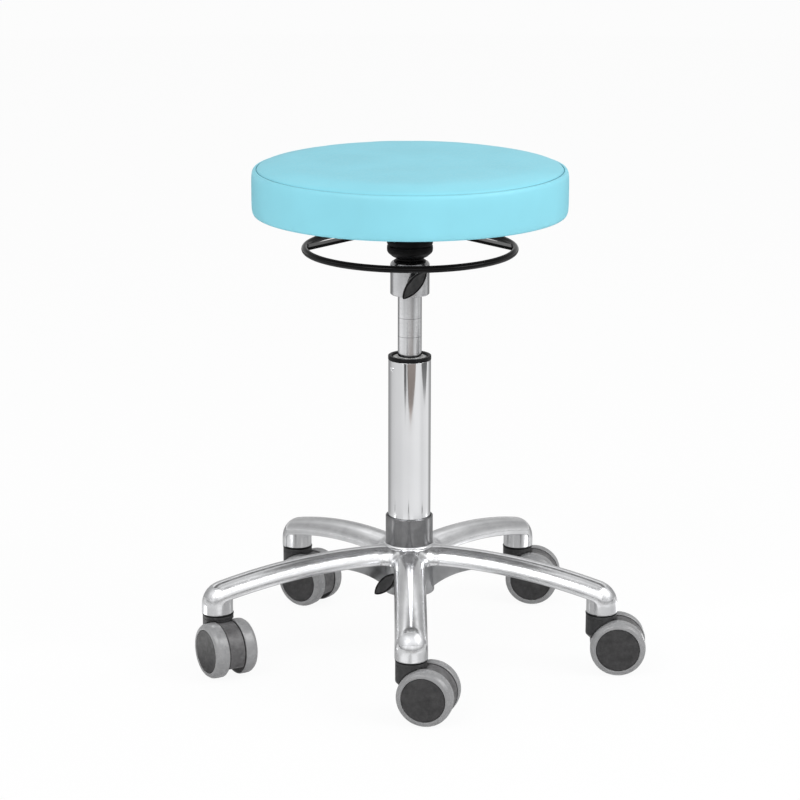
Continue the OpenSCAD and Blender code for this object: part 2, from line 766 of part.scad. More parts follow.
// Steel plate with the four pillars that carry it on the housing
module seat_plate() {
    color(steel) difference() {
        union() {
            translate([0, 0, plate_z]) cylinder(d = plate_d, h = plate_t);
            at_each_pillar() {
                translate([0, 0, shoulder_z])
                    cylinder(d = pillar_shoulder_d, h = pillar_shoulder_h + over);
                translate([0, 0, housing_top_z - pillar_depth + seat_gap])
                    cylinder(d = pillar_d, h = shoulder_z - housing_top_z + pillar_depth + over);
            }
        }
        at_each_plate_screw() translate([0, 0, plate_z - over])
            cylinder(d = plate_screw_d + 2 * run_gap, h = plate_t + 2 * over);
    }
}

module at_each_plate_screw() {
    for (k = [0 : 3]) rotate([0, 0, 45 + 90 * k]) translate([plate_screw_pcd / 2, 0, 0]) children();
}

module plate_screws() {
    color(steel) at_each_plate_screw() {
        translate([0, 0, plate_z - plate_screw_head_h])
            cylinder(d1 = plate_screw_head_d - 2 * over, d2 = plate_screw_head_d, h = plate_screw_head_h);
        translate([0, 0, plate_z - over])
            cylinder(d = plate_screw_d, h = plate_t + plate_screw_l + over);
    }
}

module seat_board() {
    color(plywood) translate([0, 0, board_z]) difference() {
        cylinder(r = board_r, h = board_t);
        at_each_plate_screw() translate([0, 0, -over])
            cylinder(d = plate_screw_d + 2 * seat_gap, h = plate_screw_l + over + seat_gap);
    }
}

// Outline of the upholstered seat, drawn in by an inset: a crowned top panel that ends in
// the seam, and a soft side that bulges below it
function crown_point(t, inset) =
    let (r = (seam_r - inset) * t)
    [r, seam_z - inset + crown_h * pow(1 - pow(t, crown_power), 1 / crown_soft)];
function side_point(t, inset) =
    let (h = (seam_z - seat_z) / 2 - inset, u = 1 - 2 * t, reach = seam_inset)
    [seam_r - inset + reach * pow(max(0, 1 - pow(abs(u), side_power)), 1 / side_power),
     (seam_z + seat_z) / 2 + h * u];
module seat_form(inset) {
    rotate_extrude() polygon(concat(
        [[0, seat_z + inset]],
        [for (i = [0 : curve_n]) crown_point(sin(90 * i / curve_n), inset)],
        [for (i = [1 : curve_n]) side_point((1 - cos(180 * i / curve_n)) / 2, inset)]));
}

module seat_foam() {
    color(foam) difference() {
        seat_form(cover_t + seat_gap);
        translate([0, 0, board_z - over]) cylinder(r = board_r + seat_gap, h = board_t + over + seat_gap);
    }
}

module seat_cover() {
    color(turquoise) difference() {
        seat_form(0);
        seat_form(cover_t);
        translate([0, 0, seat_z - over]) cylinder(r = flap_r, h = cover_t + 2 * over);
    }
}

// Oval grip with a hollowed face and a foot that narrows to the screw. +Z is out along the screw.
module wing_grip() {
    difference() {
        intersection() {
            linear_extrude(wing_t) oval(wing_bow_r, wing_end_r);
            rotate_extrude() polygon([
                [0, 0], [wing_foot_d / 2, 0], [wing_foot_d / 2 + over, wing_t - wing_tip_t - over],
                [wing_l / 2 - over, wing_t - wing_tip_t], [wing_l / 2, wing_t - wing_tip_t + over],
                [wing_l / 2, wing_t], [0, wing_t]]);
        }
        translate([0, 0, wing_t - wing_hollow]) intersection() {
            linear_extrude(wing_hollow + over) oval(wing_inner_bow_r, wing_end_r - wing_rim);
            translate([0, 0, wing_hollow_r]) sphere(r = wing_hollow_r, $fn = 180);
        }
    }
}

// Pointed oval between two bows, with its tips cut round
module oval(bow_r, end_r) {
    shift = wing_bow_r - wing_w / 2;
    intersection() {
        translate([0, shift]) circle(r = bow_r);
        translate([0, -shift]) circle(r = bow_r);
        circle(r = end_r - over);
    }
}

// Wing screw along +X: its grip starts at seat_at and its tip stands on the pad
module wing_screw(pad_at, seat_at, tilt) {
    color(black) rotate([0, 90, 0]) {
        translate([0, 0, pad_at + pad_t + seat_gap])
            cylinder(r = screw_r, h = seat_at - pad_at - pad_t + over);
        translate([0, 0, seat_at]) rotate([0, 0, 90 + tilt]) wing_grip();
    }
}

module pressure_pad(pad_at) {
    color(brass) rotate([0, 90, 0]) translate([0, 0, pad_at]) cylinder(r = screw_r, h = pad_t);
}

module upper_wing_screw() {
    towards(upper_screw_az) translate([0, 0, upper_screw_z])
        wing_screw(upper_pad_r, upper_seat_r, upper_wing_tilt);
}

module upper_pressure_pad() {
    towards(upper_screw_az) translate([0, 0, upper_screw_z]) pressure_pad(upper_pad_r);
}

module lower_wing_screw() {
    towards(lower_screw_az) translate([0, 0, lower_screw_z])
        wing_screw(lower_pad_r, lower_seat_r, lower_wing_tilt);
}

module lower_pressure_pad() {
    towards(lower_screw_az) translate([0, 0, lower_screw_z]) pressure_pad(lower_pad_r);
}

// Places its children on the axle, with +Z along it
module on_axle() {
    translate([castor_trail, 0, axle_z]) rotate([90, 0, 0]) children();
}

// Castor body: stem boss, mudguard over the trailing side, and the wall that carries the axle
module castor_hood() {
    boss_r = stem_boss_d / 2;
    boss_z = hood_top_z - stem_boss_h;
    color(dark_grey) difference() {
        union() {
            difference() {
                rotate_extrude() polygon([
                    [0, boss_z - stem_boss_bevel], [boss_r - stem_boss_bevel, boss_z - stem_boss_bevel],
                    [boss_r, boss_z], [boss_r, hood_top_z - line_drop - line_h],
                    [boss_r - line_depth, hood_top_z - line_drop - line_h],
                    [boss_r - line_depth, hood_top_z - line_drop],
                    [boss_r, hood_top_z - line_drop], [boss_r, hood_top_z], [0, hood_top_z]]);
                for (side = [-1, 1]) on_axle() translate([0, 0, side * (hood_w + stem_boss_d) / 2])
                    cylinder(r = wheel_r + wheel_gap, h = stem_boss_d, center = true);
            }
            intersection() {
                on_axle() union() {
                    translate([0, 0, -hood_w / 2]) ring(guard_r, guard_r - guard_t, hood_w);
                    cylinder(r = guard_r - guard_t / 2, h = hood_wall, center = true);
                }
                translate([castor_trail, 0, axle_z]) rotate([90, 0, 0])
                    linear_extrude(stem_boss_d, center = true) polygon([
                        [0, 0], [wheel_d * cos(guard_drop), -wheel_d * sin(guard_drop)],
                        [wheel_d, wheel_d], [-castor_trail - over, wheel_d],
                        [-castor_trail - over, boss_z - axle_z]]);
            }
            on_axle() cylinder(d = axle_boss_d, h = hood_w, center = true);
        }
        on_axle() cylinder(r = axle_d / 2 + seat_gap, h = castor_w, center = true);
        translate([0, 0, hood_top_z - stem_foot_l - bear_gap])
            cylinder(r = stem_foot_d / 2 + run_gap, h = stem_foot_l + over);
    }
}

module castor_axle() {
    color(steel) on_axle() cylinder(d = axle_d, h = axle_l, center = true);
}

// Places its children on the inner face of the wheel on one side, with +Z outwards
module on_wheel(side) {
    on_axle() mirror([0, 0, side < 0 ? 0 : 1]) translate([0, 0, wheel_y]) children();
}

// Dark wheel disc: closed face, rim under the tyre, hub on the axle and ribs between them
module wheel_disc(side) {
    face_r = tyre_mouth_r - disc_line;
    rim_r = tyre_seat_r - seat_gap;
    face_back = disc_face_w - disc_t;
    hub_r = axle_boss_d / 2;
    color(dark_grey) on_wheel(side) difference() {
        union() {
            translate([0, 0, face_back]) cylinder(r = face_r, h = disc_t);
            translate([0, 0, tyre_edge]) ring(rim_r, rim_r - disc_rim_t,
                wheel_w - tyre_lip - tyre_edge - seat_gap);
            translate([0, 0, face_back - over]) cylinder(r = rim_r - disc_rim_t / 2, h = over);
            cylinder(r = hub_r, h = face_back);
            for (k = [0 : disc_rib_n - 1]) rotate([0, 0, k * 360 / disc_rib_n])
                translate([hub_r - over, -disc_rib_t / 2, wheel_w / 3])
                    cube([rim_r - disc_rim_t - hub_r + 2 * over, disc_rib_t, face_back - wheel_w / 3]);
        }
        translate([0, 0, -over]) cylinder(r = axle_d / 2 + run_gap, h = face_back + over - line_h / 2);
    }
}

// Soft tyre with a round outer shoulder and a lip round the disc
module wheel_tyre(side) {
    color(mid_grey) on_wheel(side) rotate_extrude() difference() {
        union() {
            translate([tyre_mouth_r, 0]) square([tyre_round - tyre_edge, wheel_w - tyre_round]);
            translate([tyre_mouth_r, tyre_edge]) square([tyre_round, wheel_w - tyre_round - tyre_edge]);
            intersection() {
                translate([tyre_mouth_r, wheel_w - tyre_round]) circle(r = tyre_round, $fn = 64);
                translate([tyre_mouth_r, wheel_w - tyre_round]) square([tyre_round, tyre_round]);
            }
        }
        translate([0, -over]) square([tyre_seat_r, wheel_w - tyre_lip + over]);
    }
}

star_base();
hub_collar();
column_tube();
column_cap();
guide_bush();
bottom_plate();
bearing_lower_race();
caster_stems();
caster_washers();
piston_rod();
piston();
rod_clip();
thrust_bearing();
rubber_buffer();
pressure_tube();
rod_gland();
taper_collar();
lever_housing();
plate_screws();
seat_plate();
seat_board();
seat_foam();
seat_cover();
release_pin();
ring_lever();
lever_disc();
upper_wing_screw();
upper_pressure_pad();
lower_wing_screw();
lower_pressure_pad();
for (k = [0 : arm_n - 1]) {
    in_castor(k) castor_hood();
    in_castor(k) castor_axle();
    in_castor(k) wheel_disc(-1);
    in_castor(k) wheel_disc(1);
    in_castor(k) wheel_tyre(-1);
    in_castor(k) wheel_tyre(1);
}
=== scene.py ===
import json
import math
from functools import cache

import bmesh
import bpy
import numpy as np
from bpy.props import FloatProperty, FloatVectorProperty, IntProperty, PointerProperty
from mathutils import Matrix, Vector


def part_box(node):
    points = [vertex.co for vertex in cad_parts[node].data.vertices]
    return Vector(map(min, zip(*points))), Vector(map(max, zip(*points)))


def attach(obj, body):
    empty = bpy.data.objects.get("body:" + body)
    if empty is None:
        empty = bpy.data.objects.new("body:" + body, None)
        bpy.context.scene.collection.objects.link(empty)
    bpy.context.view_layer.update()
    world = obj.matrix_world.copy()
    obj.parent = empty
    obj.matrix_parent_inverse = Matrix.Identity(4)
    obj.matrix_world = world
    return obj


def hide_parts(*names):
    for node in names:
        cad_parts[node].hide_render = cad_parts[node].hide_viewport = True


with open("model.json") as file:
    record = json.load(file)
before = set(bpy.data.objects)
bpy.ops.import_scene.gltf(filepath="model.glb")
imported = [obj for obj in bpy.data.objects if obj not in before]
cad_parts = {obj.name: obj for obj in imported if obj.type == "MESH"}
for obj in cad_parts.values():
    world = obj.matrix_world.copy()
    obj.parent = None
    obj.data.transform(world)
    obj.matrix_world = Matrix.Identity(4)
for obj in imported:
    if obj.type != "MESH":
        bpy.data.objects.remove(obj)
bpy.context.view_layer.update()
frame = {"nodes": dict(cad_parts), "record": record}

bl_info = {
    "name": "Work stool",
    "version": (1, 0, 0),
    "blender": (4, 5, 0),
    "location": "3D View > Sidebar > Stool",
    "description": "Dresses the packed model of a height-adjustable work stool",
    "category": "Object",
}

MM = 0.001
TAU = 2 * math.pi

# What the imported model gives: the material slot of each part, and its box in millimetres
SLOTS = {item["node"]: item["material_slot"] for item in frame["record"]["subparts"]}
LOW = {name: [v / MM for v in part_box(name)[0]] for name in frame["nodes"]}
HIGH = {name: [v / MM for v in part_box(name)[1]] for name in frame["nodes"]}


def radius_of(node):
    """Radius of a turned CAD node, in millimetres."""
    return (HIGH[node][0] - LOW[node][0]) / 2


# Sizes and places that several pieces share, in millimetres and degrees

ARM_COUNT = 5
ARM_STEP = TAU / ARM_COUNT
CASTORS = ("front", "right", "back_right", "back_left", "left")
# Where each castor's axle trails, from the right towards the front
AXLE_TURNS = (15, 4, 9, 36, 60)
HOOD_WIDTH = 19.0
WHEEL_GAP = 1.0
WHEEL_WIDTH = 16.5
STEM_BOSS_R = 18.0
# Lower wing screw: from the front towards the left, and over the floor
LOWER_SCREW_AZIMUTH = -36.0
LOWER_SCREW_Z = 93.9
# Facets of what is turned about the column
COLUMN_FACETS = 192
# Distances in metres below which points are one: in most pieces, and in the cover
MERGE = 2e-6
COVER_MERGE = 1e-7


# Settings

class StoolSeat(bpy.types.PropertyGroup):
    radius: FloatProperty(
        name="Radius", description="Radius of the padded seat", unit="LENGTH",
        default=radius_of("seat_cover") * MM)
    seam_inset: FloatProperty(
        name="Seam inset", description="Distance of the seam from the side of the seat",
        unit="LENGTH", default=0.0062)
    seam_drop: FloatProperty(
        name="Seam drop", description="Depth of the seam below the top of the packed seat",
        unit="LENGTH", default=0.0057)
    crown: FloatProperty(
        name="Crown", description="Height of the top panel over the seam", unit="LENGTH", default=0.0078)
    pressure: FloatProperty(
        name="Pressure", description="Pressure of the foam against the cover", default=4.0)
    swell: FloatProperty(
        name="Swell", description="Most that the cover may swell", unit="LENGTH", default=0.0014)
    stitch_pitch: FloatProperty(
        name="Stitch pitch", description="Distance from one stitch to the next", unit="LENGTH",
        default=0.0027)
    staple_count: IntProperty(
        name="Staples", description="Number of staples that hold the cover under the board", default=58)
    vinyl: FloatVectorProperty(
        name="Vinyl", description="Colour of the cover", subtype="COLOR", size=3,
        default=(0.272, 0.705, 0.83))


class StoolBase(bpy.types.PropertyGroup):
    arm_radius: FloatProperty(
        name="Arm radius", description="Radius of the round back of an arm", unit="LENGTH",
        default=0.0185)
    arch_radius: FloatProperty(
        name="Arch radius", description="Radius of the arch of an arm, along its middle line",
        unit="LENGTH", default=0.6935)
    fillet_radius: FloatProperty(
        name="Fillet radius", description="Radius between two arms, seen from above", unit="LENGTH",
        default=0.014)
    bend_radius: FloatProperty(
        name="Bend radius", description="Radius of the bend at the end of an arm, along its middle line",
        unit="LENGTH", default=0.009)
    stem_circle: FloatProperty(
        name="Stem circle", description="Radius of the circle that the castor stems stand on",
        unit="LENGTH", default=0.2357)
    wall: FloatProperty(
        name="Wall", description="Wall of a hollow arm", unit="LENGTH", default=0.004)
    polish: FloatProperty(
        name="Roughness", description="Roughness of the polished casting", subtype="FACTOR", default=0.18)


class StoolCastor(bpy.types.PropertyGroup):
    wheel_radius: FloatProperty(
        name="Wheel radius", description="Radius of a wheel", unit="LENGTH", default=0.0325)
    trail: FloatProperty(
        name="Trail", description="Distance of the axle behind the stem", unit="LENGTH", default=0.020)
    rib_count: IntProperty(
        name="Ribs", description="Number of ribs inside a wheel", default=6)
    tyre: FloatVectorProperty(
        name="Tyre", description="Colour of the tyres", subtype="COLOR", size=3,
        default=(0.30, 0.30, 0.305))
    plastic: FloatVectorProperty(
        name="Plastic", description="Colour of the castor bodies and wheel discs", subtype="COLOR",
        size=3, default=(0.105, 0.103, 0.105))


class StoolStudio(bpy.types.PropertyGroup):
    key: FloatProperty(
        name="Key lamp", description="Power of the key lamp", unit="POWER", default=35.0)
    fill: FloatProperty(
        name="Fill lamp", description="Power of the fill lamp", unit="POWER", default=37.0)
    ambient: FloatProperty(
        name="Ambient", description="Strength of the even light of the room", default=0.62)


# Meshes

def eased(corners, steps=5, closed=False):
    """Outline with rounded corners. Each corner is (x, y, radius), in millimetres; a short straight
    bit stays beside each rounding, so that flat faces shade flat."""
    flattest = math.radians(89.5)
    most_of_side, spare_of_radius, spare_of_side = 0.49, 0.3, 0.2
    out = []
    count = len(corners)
    for i, (x, y, r) in enumerate(corners):
        at_end = not closed and i in (0, count - 1)
        if at_end or r <= 0:
            out.append((x, y))
            continue
        corner = np.array((x, y), float)
        back = np.array(corners[i - 1][:2], float) - corner
        ahead = np.array(corners[(i + 1) % count][:2], float) - corner
        back_length, ahead_length = np.linalg.norm(back), np.linalg.norm(ahead)
        back, ahead = back / back_length, ahead / ahead_length
        half = math.acos(max(-1.0, min(1.0, float(back @ ahead)))) / 2
        if half > flattest:
            out.append((x, y))
            continue
        reach = min(r / math.tan(half), most_of_side * back_length, most_of_side * ahead_length)
        r = reach * math.tan(half)
        middle = corner + (back + ahead) / np.linalg.norm(back + ahead) * r / math.sin(half)
        spare = min(spare_of_radius * r, spare_of_side * (back_length - reach),
                    spare_of_side * (ahead_length - reach))
        out.append(tuple(corner + back * (reach + spare)))
        first, last = corner + back * reach - middle, corner + ahead * reach - middle
        turn = math.atan2(first[0] * last[1] - first[1] * last[0], float(first @ last))
        for k in range(steps + 1):
            c, s = math.cos(turn * k / steps), math.sin(turn * k / steps)
            out.append((middle[0] + first[0] * c - first[1] * s, middle[1] + first[0] * s + first[1] * c))
        out.append(tuple(corner + ahead * (reach + spare)))
    return out


def turned(profile, segments=128):
    """Vertices and faces of a profile turned about Z. A profile that starts and ends on the axis
    is closed at its poles; any other is joined end to end."""
    verts, faces, rings = [], [], []
    for r, z in profile:
        if r < 1e-6:
            rings.append([len(verts)])
            verts.append((0.0, 0.0, z))
        else:
            rings.append(list(range(len(verts), len(verts) + segments)))
            verts += [(r * math.cos(TAU * k / segments), r * math.sin(TAU * k / segments), z)
                      for k in range(segments)]
    pairs = list(zip(rings, rings[1:]))
    if len(rings[0]) > 1 and len(rings[-1]) > 1:
        pairs.append((rings[-1], rings[0]))
    for a, b in pairs:
        for k in range(segments):
            n = (k + 1) % segments
            if len(a) == 1 and len(b) == 1:
                continue
            if len(a) == 1:
                faces.append((a[0], b[n], b[k]))
            elif len(b) == 1:
                faces.append((a[k], a[n], b[0]))
            else:
                faces.append((a[k], a[n], b[n], b[k]))
    return verts, faces


def lofted(sections):
    """Vertices and faces through sections of equal length, each a closed loop, with capped ends."""
    count = len(sections[0])
    verts = [tuple(p) for section in sections for p in section]
    faces = []
    for i in range(len(sections) - 1):
        a, b = i * count, (i + 1) * count
        for k in range(count):
            n = (k + 1) % count
            faces.append((a + k, a + n, b + n, b + k))
    faces.append(tuple(range(count - 1, -1, -1)))
    faces.append(tuple(range(len(verts) - count, len(verts))))
    return verts, faces


def placed(shape, matrix):
    """The same shape, moved by a matrix."""
    verts, faces = shape
    return [tuple(matrix @ Vector(v)) for v in verts], faces


def joined(*shapes):
    """Several shapes, or paths of edges, as one."""
    verts, faces = [], []
    for points, members in shapes:
        start = len(verts)
        verts += list(points)
        faces += [tuple(i + start for i in member) for member in members]
    return verts, faces


def shade(mesh, angle=34.0):
    """Smooth shading that breaks at sharp edges."""
    mesh.polygons.foreach_set("use_smooth", [True] * len(mesh.polygons))
    mesh.set_sharp_from_angle(angle=math.radians(angle))


def mesh_of(name, verts, edges=(), faces=()):
    """Mesh from points in millimetres."""
    mesh = bpy.data.meshes.new(name)
    mesh.from_pydata([(x * MM, y * MM, z * MM) for x, y, z in verts], edges, faces)
    return mesh


def linked(name, data):
    """Object of a mesh, a lamp or a camera, linked to the scene."""
    obj = bpy.data.objects.new(name, data)
    bpy.context.scene.collection.objects.link(obj)
    return obj


def discarded(obj):
    """Removes an object with its mesh."""
    mesh = obj.data
    bpy.data.objects.remove(obj)
    bpy.data.meshes.remove(mesh)


def painted(mesh, *names):
    """Gives a mesh the finishes of these names in place of its own."""
    mesh.materials.clear()
    for name in names:
        mesh.materials.append(finish(name))


def made(name, shape, *finishes, merge=MERGE, angle=34.0):
    """Object from a shape in millimetres, with doubles merged and closed shells turned outwards."""
    verts, faces = shape
    mesh = mesh_of(name, verts, faces=faces)
    work = bmesh.new()
    work.from_mesh(mesh)
    bmesh.ops.remove_doubles(work, verts=work.verts, dist=merge)
    bmesh.ops.dissolve_degenerate(work, edges=work.edges, dist=merge / 2)
    bmesh.ops.recalc_face_normals(work, faces=work.faces)
    work.to_mesh(mesh)
    work.free()
    painted(mesh, *finishes)
    shade(mesh, angle)
    return linked(name, mesh)


def rides(obj, body, slot, *nodes):
    """Gives a finished piece its body and hides the CAD nodes that it stands for. The slot is not used."""
    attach(obj, body)
    if nodes:
        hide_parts(*nodes)


def frozen(obj):
    """Plain mesh object from an object with modifiers, which is then removed."""
    bpy.context.view_layer.update()
    graph = bpy.context.evaluated_depsgraph_get()
    mesh = bpy.data.meshes.new_from_object(obj.evaluated_get(graph))
    name = obj.name
    discarded(obj)
    mesh.name = name
    return linked(name, mesh)


def combined(name, base, steps):
    """One object from a base shape and a list of (operation, shape) steps."""
    obj = made(name, base)
    tools = []
    for i, (operation, shape) in enumerate(steps):
        tools.append(made(f"{name}_{i}", shape))
        step = obj.modifiers.new(f"step_{i}", "BOOLEAN")
        step.operation = operation
        step.solver = "MANIFOLD"
        step.object = tools[-1]
    out = frozen(obj)
    for tool in tools:
        discarded(tool)
    return out


# Materials

def node_of(tree, kind):
    """The node of a type that a new material or world has."""
    return next(node for node in tree.nodes if node.type == kind)


class Finish:
    """A node material on Object coordinates, built a node at a time."""

    def __init__(self, name, color, roughness, metallic=0.0):
        self.material = bpy.data.materials.new(name)
        self.material.use_nodes = True
        self.material.diffuse_color = (*color, 1.0)
        self.tree = self.material.node_tree
        self.shader = node_of(self.tree, "BSDF_PRINCIPLED")
        self.shader.inputs["Base Color"].default_value = (*color, 1.0)
        self.shader.inputs["Roughness"].default_value = roughness
        self.shader.inputs["Metallic"].default_value = metallic
        self.place = self.node("ShaderNodeTexCoord").outputs["Object"]
        self.height = None

    def node(self, kind, **values):
        made_node = self.tree.nodes.new(kind)
        for key, value in values.items():
            if hasattr(made_node, key):
                setattr(made_node, key, value)
            else:
                made_node.inputs[key.replace("_", " ")].default_value = value
        return made_node

    def link(self, a, b):
        self.tree.links.new(a, b)

    def stretched(self, scale):
        """Object coordinates under a scale."""
        mapping = self.node("ShaderNodeMapping")
        mapping.inputs["Scale"].default_value = scale
        self.link(self.place, mapping.inputs["Vector"])
        return mapping.outputs["Vector"]

    def noise(self, scale, detail=3.0, where=None, rough=0.5):
        noise = self.node("ShaderNodeTexNoise")
        noise.inputs["Scale"].default_value = scale
        noise.inputs["Detail"].default_value = detail
        noise.inputs["Roughness"].default_value = rough
        self.link(where or self.place, noise.inputs["Vector"])
        return noise.outputs["Fac"]

    def cells(self, scale, where=None):
        cells = self.node("ShaderNodeTexVoronoi")
        cells.feature = "SMOOTH_F1"
        cells.inputs["Scale"].default_value = scale
        cells.inputs["Smoothness"].default_value = 0.6
        self.link(where or self.place, cells.inputs["Vector"])
        return cells.outputs["Distance"]

    def mapped(self, value, low, high, from_low=0.3, from_high=0.7):
        """Maps a value to a range."""
        fit = self.node("ShaderNodeMapRange")
        fit.inputs["From Min"].default_value = from_low
        fit.inputs["From Max"].default_value = from_high
        fit.inputs["To Min"].default_value = low
        fit.inputs["To Max"].default_value = high
        self.link(value, fit.inputs["Value"])
        return fit.outputs["Result"]

    def roughness(self, value, low, high, from_low=0.3, from_high=0.7):
        self.link(self.mapped(value, low, high, from_low, from_high), self.shader.inputs["Roughness"])

    def tint(self, value, dark, light, from_low=0.3, from_high=0.7):
        """Colour that goes from dark to light with a value."""
        mix = self.node("ShaderNodeMix")
        mix.data_type = "RGBA"
        mix.inputs[6].default_value = (*dark, 1.0)
        mix.inputs[7].default_value = (*light, 1.0)
        self.link(self.mapped(value, 0.0, 1.0, from_low, from_high), mix.inputs[0])
        self.link(mix.outputs[2], self.shader.inputs["Base Color"])

    def bump(self, value, depth, strength=1.0):
        """Adds a layer of relief, its depth in metres."""
        bump = self.node("ShaderNodeBump")
        bump.inputs["Strength"].default_value = strength
        bump.inputs["Distance"].default_value = depth
        self.link(value, bump.inputs["Height"])
        if self.height:
            self.link(self.height, bump.inputs["Normal"])
        self.height = bump.outputs["Normal"]
        self.link(self.height, self.shader.inputs["Normal"])

    def adjust(self, **values):
        """Sets inputs of the shader by name."""
        for key, value in values.items():
            self.shader.inputs[key.replace("_", " ")].default_value = value


def scaled(color, share):
    return tuple(min(1.0, c * share) for c in color)


def vinyl(color):
    """Smooth coated upholstery fabric with a fine pebble grain."""
    look = Finish("turquoise vinyl", color, 0.42)
    look.tint(look.noise(14.0, 2.0), scaled(color, 0.965), scaled(color, 1.03))
    grain = look.cells(1500.0)
    look.roughness(look.noise(420.0, 2.0), 0.36, 0.48)
    look.bump(grain, 0.00006, 0.35)
    look.bump(look.noise(55.0, 2.0), 0.0004, 0.06)
    look.adjust(Coat_Weight=0.03, Coat_Roughness=0.35, Specular_IOR_Level=0.26)
    return look.material


def thread(color):
    look = Finish("sewing thread", color, 0.6)
    look.tint(look.noise(2500.0, 1.0), scaled(color, 0.8), scaled(color, 1.15))
    look.bump(look.noise(5000.0, 1.0), 0.00005, 0.5)
    return look.material


def polished_casting(roughness):
    """Die casting, ground and polished: long soft waves and faint polishing marks."""
    look = Finish("polished aluminium", (0.86, 0.865, 0.88), roughness, 1.0)
    marks = look.noise(90.0, 4.0, look.stretched((1.0, 1.0, 5.0)), 0.6)
    look.roughness(marks, roughness * 0.7, roughness * 1.5)
    look.tint(look.noise(35.0, 3.0), (0.80, 0.805, 0.82), (0.90, 0.905, 0.92))
    look.bump(look.noise(34.0, 3.0), 0.0012, 0.16)
    look.bump(marks, 0.00003, 0.25)
    return look.material


def raw_casting():
    """The same casting where it isn't polished."""
    look = Finish("raw aluminium casting", (0.55, 0.555, 0.565), 0.42, 1.0)
    look.tint(look.noise(60.0, 4.0), (0.46, 0.465, 0.475), (0.62, 0.625, 0.635))
    look.roughness(look.noise(160.0, 3.0), 0.36, 0.52)
    look.bump(look.noise(900.0, 3.0), 0.00012, 0.35)
    return look.material


def chrome():
    """Bright plate with faint wiping marks."""
    look = Finish("chromium plate", (0.86, 0.865, 0.88), 0.05, 1.0)
    look.roughness(look.noise(22.0, 4.0), 0.035, 0.10)
    look.tint(look.noise(12.0, 2.0), (0.83, 0.835, 0.85), (0.89, 0.895, 0.91))
    look.bump(look.noise(9.0, 1.0), 0.0006, 0.06)
    return look.material


def lines_across(look, levels, half_width):
    """1 on thin level rings round Z at the given heights, in metres, and 0 elsewhere."""
    split = look.node("ShaderNodeSeparateXYZ")
    look.link(look.place, split.inputs[0])
    total = None
    for level in levels:
        near = look.node("ShaderNodeMath", operation="COMPARE")
        near.inputs[1].default_value = level
        near.inputs[2].default_value = half_width
        look.link(split.outputs["Z"], near.inputs[0])
        if total is None:
            total = near.outputs[0]
        else:
            add = look.node("ShaderNodeMath", operation="MAXIMUM")
            look.link(total, add.inputs[0])
            look.link(near.outputs[0], add.inputs[1])
            total = add.outputs[0]
    return total


def spring_tube():
    """Ground and plated tube with its scribed height rings, at levels in metres."""
    look = Finish("ground steel tube", (0.80, 0.805, 0.82), 0.14, 1.0)
    levels, half_width = (0.4082, 0.3860), 0.00022
    rings = lines_across(look, levels, half_width)
    fine = look.noise(60.0, 3.0, look.stretched((1.0, 1.0, 60.0)))
    look.tint(rings, (0.80, 0.805, 0.82), (0.30, 0.30, 0.31), 0.0, 1.0)
    look.roughness(fine, 0.10, 0.20)
    look.bump(fine, 0.00003, 0.2)
    return look.material


def turned_aluminium():
    """Collar turned from bar: fine rings of the tool and a satin polish."""
    look = Finish("turned aluminium", (0.74, 0.745, 0.755), 0.18, 1.0)
    tool = look.noise(12.0, 2.0, look.stretched((1.0, 1.0, 90.0)))
    look.tint(look.noise(50.0, 3.0), (0.68, 0.685, 0.70), (0.79, 0.795, 0.81))
    look.roughness(tool, 0.13, 0.24)
    look.bump(tool, 0.00003, 0.12)
    return look.material


def gloss_black():
    """Black stove enamel on steel."""
    look = Finish("black enamel", (0.002, 0.002, 0.0022), 0.12)
    look.tint(look.noise(80.0, 3.0), (0.0015, 0.0015, 0.0017), (0.0035, 0.0035, 0.004))
    look.roughness(look.noise(140.0, 3.0), 0.06, 0.12)
    look.bump(look.noise(420.0, 1.0), 0.00008, 0.10)
    look.adjust(Specular_IOR_Level=0.20)
    return look.material


def black_rubber():
    look = Finish("black rubber", (0.004, 0.004, 0.0045), 0.3)
    look.tint(look.noise(120.0, 4.0), (0.0015, 0.0015, 0.002), (0.005, 0.005, 0.0055))
    look.roughness(look.noise(90.0, 4.0), 0.22, 0.40)
    look.adjust(Specular_IOR_Level=0.12)
    look.bump(look.noise(1400.0, 2.0), 0.00006, 0.3)
    return look.material


def black_plastic():
    look = Finish("black moulding", (0.006, 0.006, 0.0065), 0.26)
    look.tint(look.noise(60.0, 3.0), (0.004, 0.004, 0.0045), (0.010, 0.010, 0.0105))
    look.roughness(look.noise(220.0, 3.0), 0.20, 0.34)
    look.adjust(Specular_IOR_Level=0.14)
    look.bump(look.cells(1900.0), 0.00004, 0.25)
    return look.material


def grained_plastic(name, color, gloss=0.40):
    """Moulded plastic with a spark-eroded grain and a mottled bloom."""
    look = Finish(name, color, gloss)
    look.tint(look.noise(110.0, 6.0, rough=0.72), scaled(color, 0.55), scaled(color, 1.55))
    look.adjust(Specular_IOR_Level=0.4)
    look.roughness(look.noise(260.0, 3.0), gloss - 0.06, gloss + 0.10)
    look.bump(look.cells(1500.0), 0.00008, 0.45)
    return look.material


def hub_moulding():
    """Dark collar of the hub, with a smooth metallic lacquer."""
    look = Finish("dark hub moulding", (0.20, 0.20, 0.205), 0.16, 0.85)
    look.tint(look.noise(60.0, 4.0), (0.16, 0.16, 0.165), (0.24, 0.24, 0.245))
    look.roughness(look.noise(150.0, 3.0), 0.11, 0.24)
    look.bump(look.noise(40.0, 2.0), 0.0004, 0.08)
    return look.material


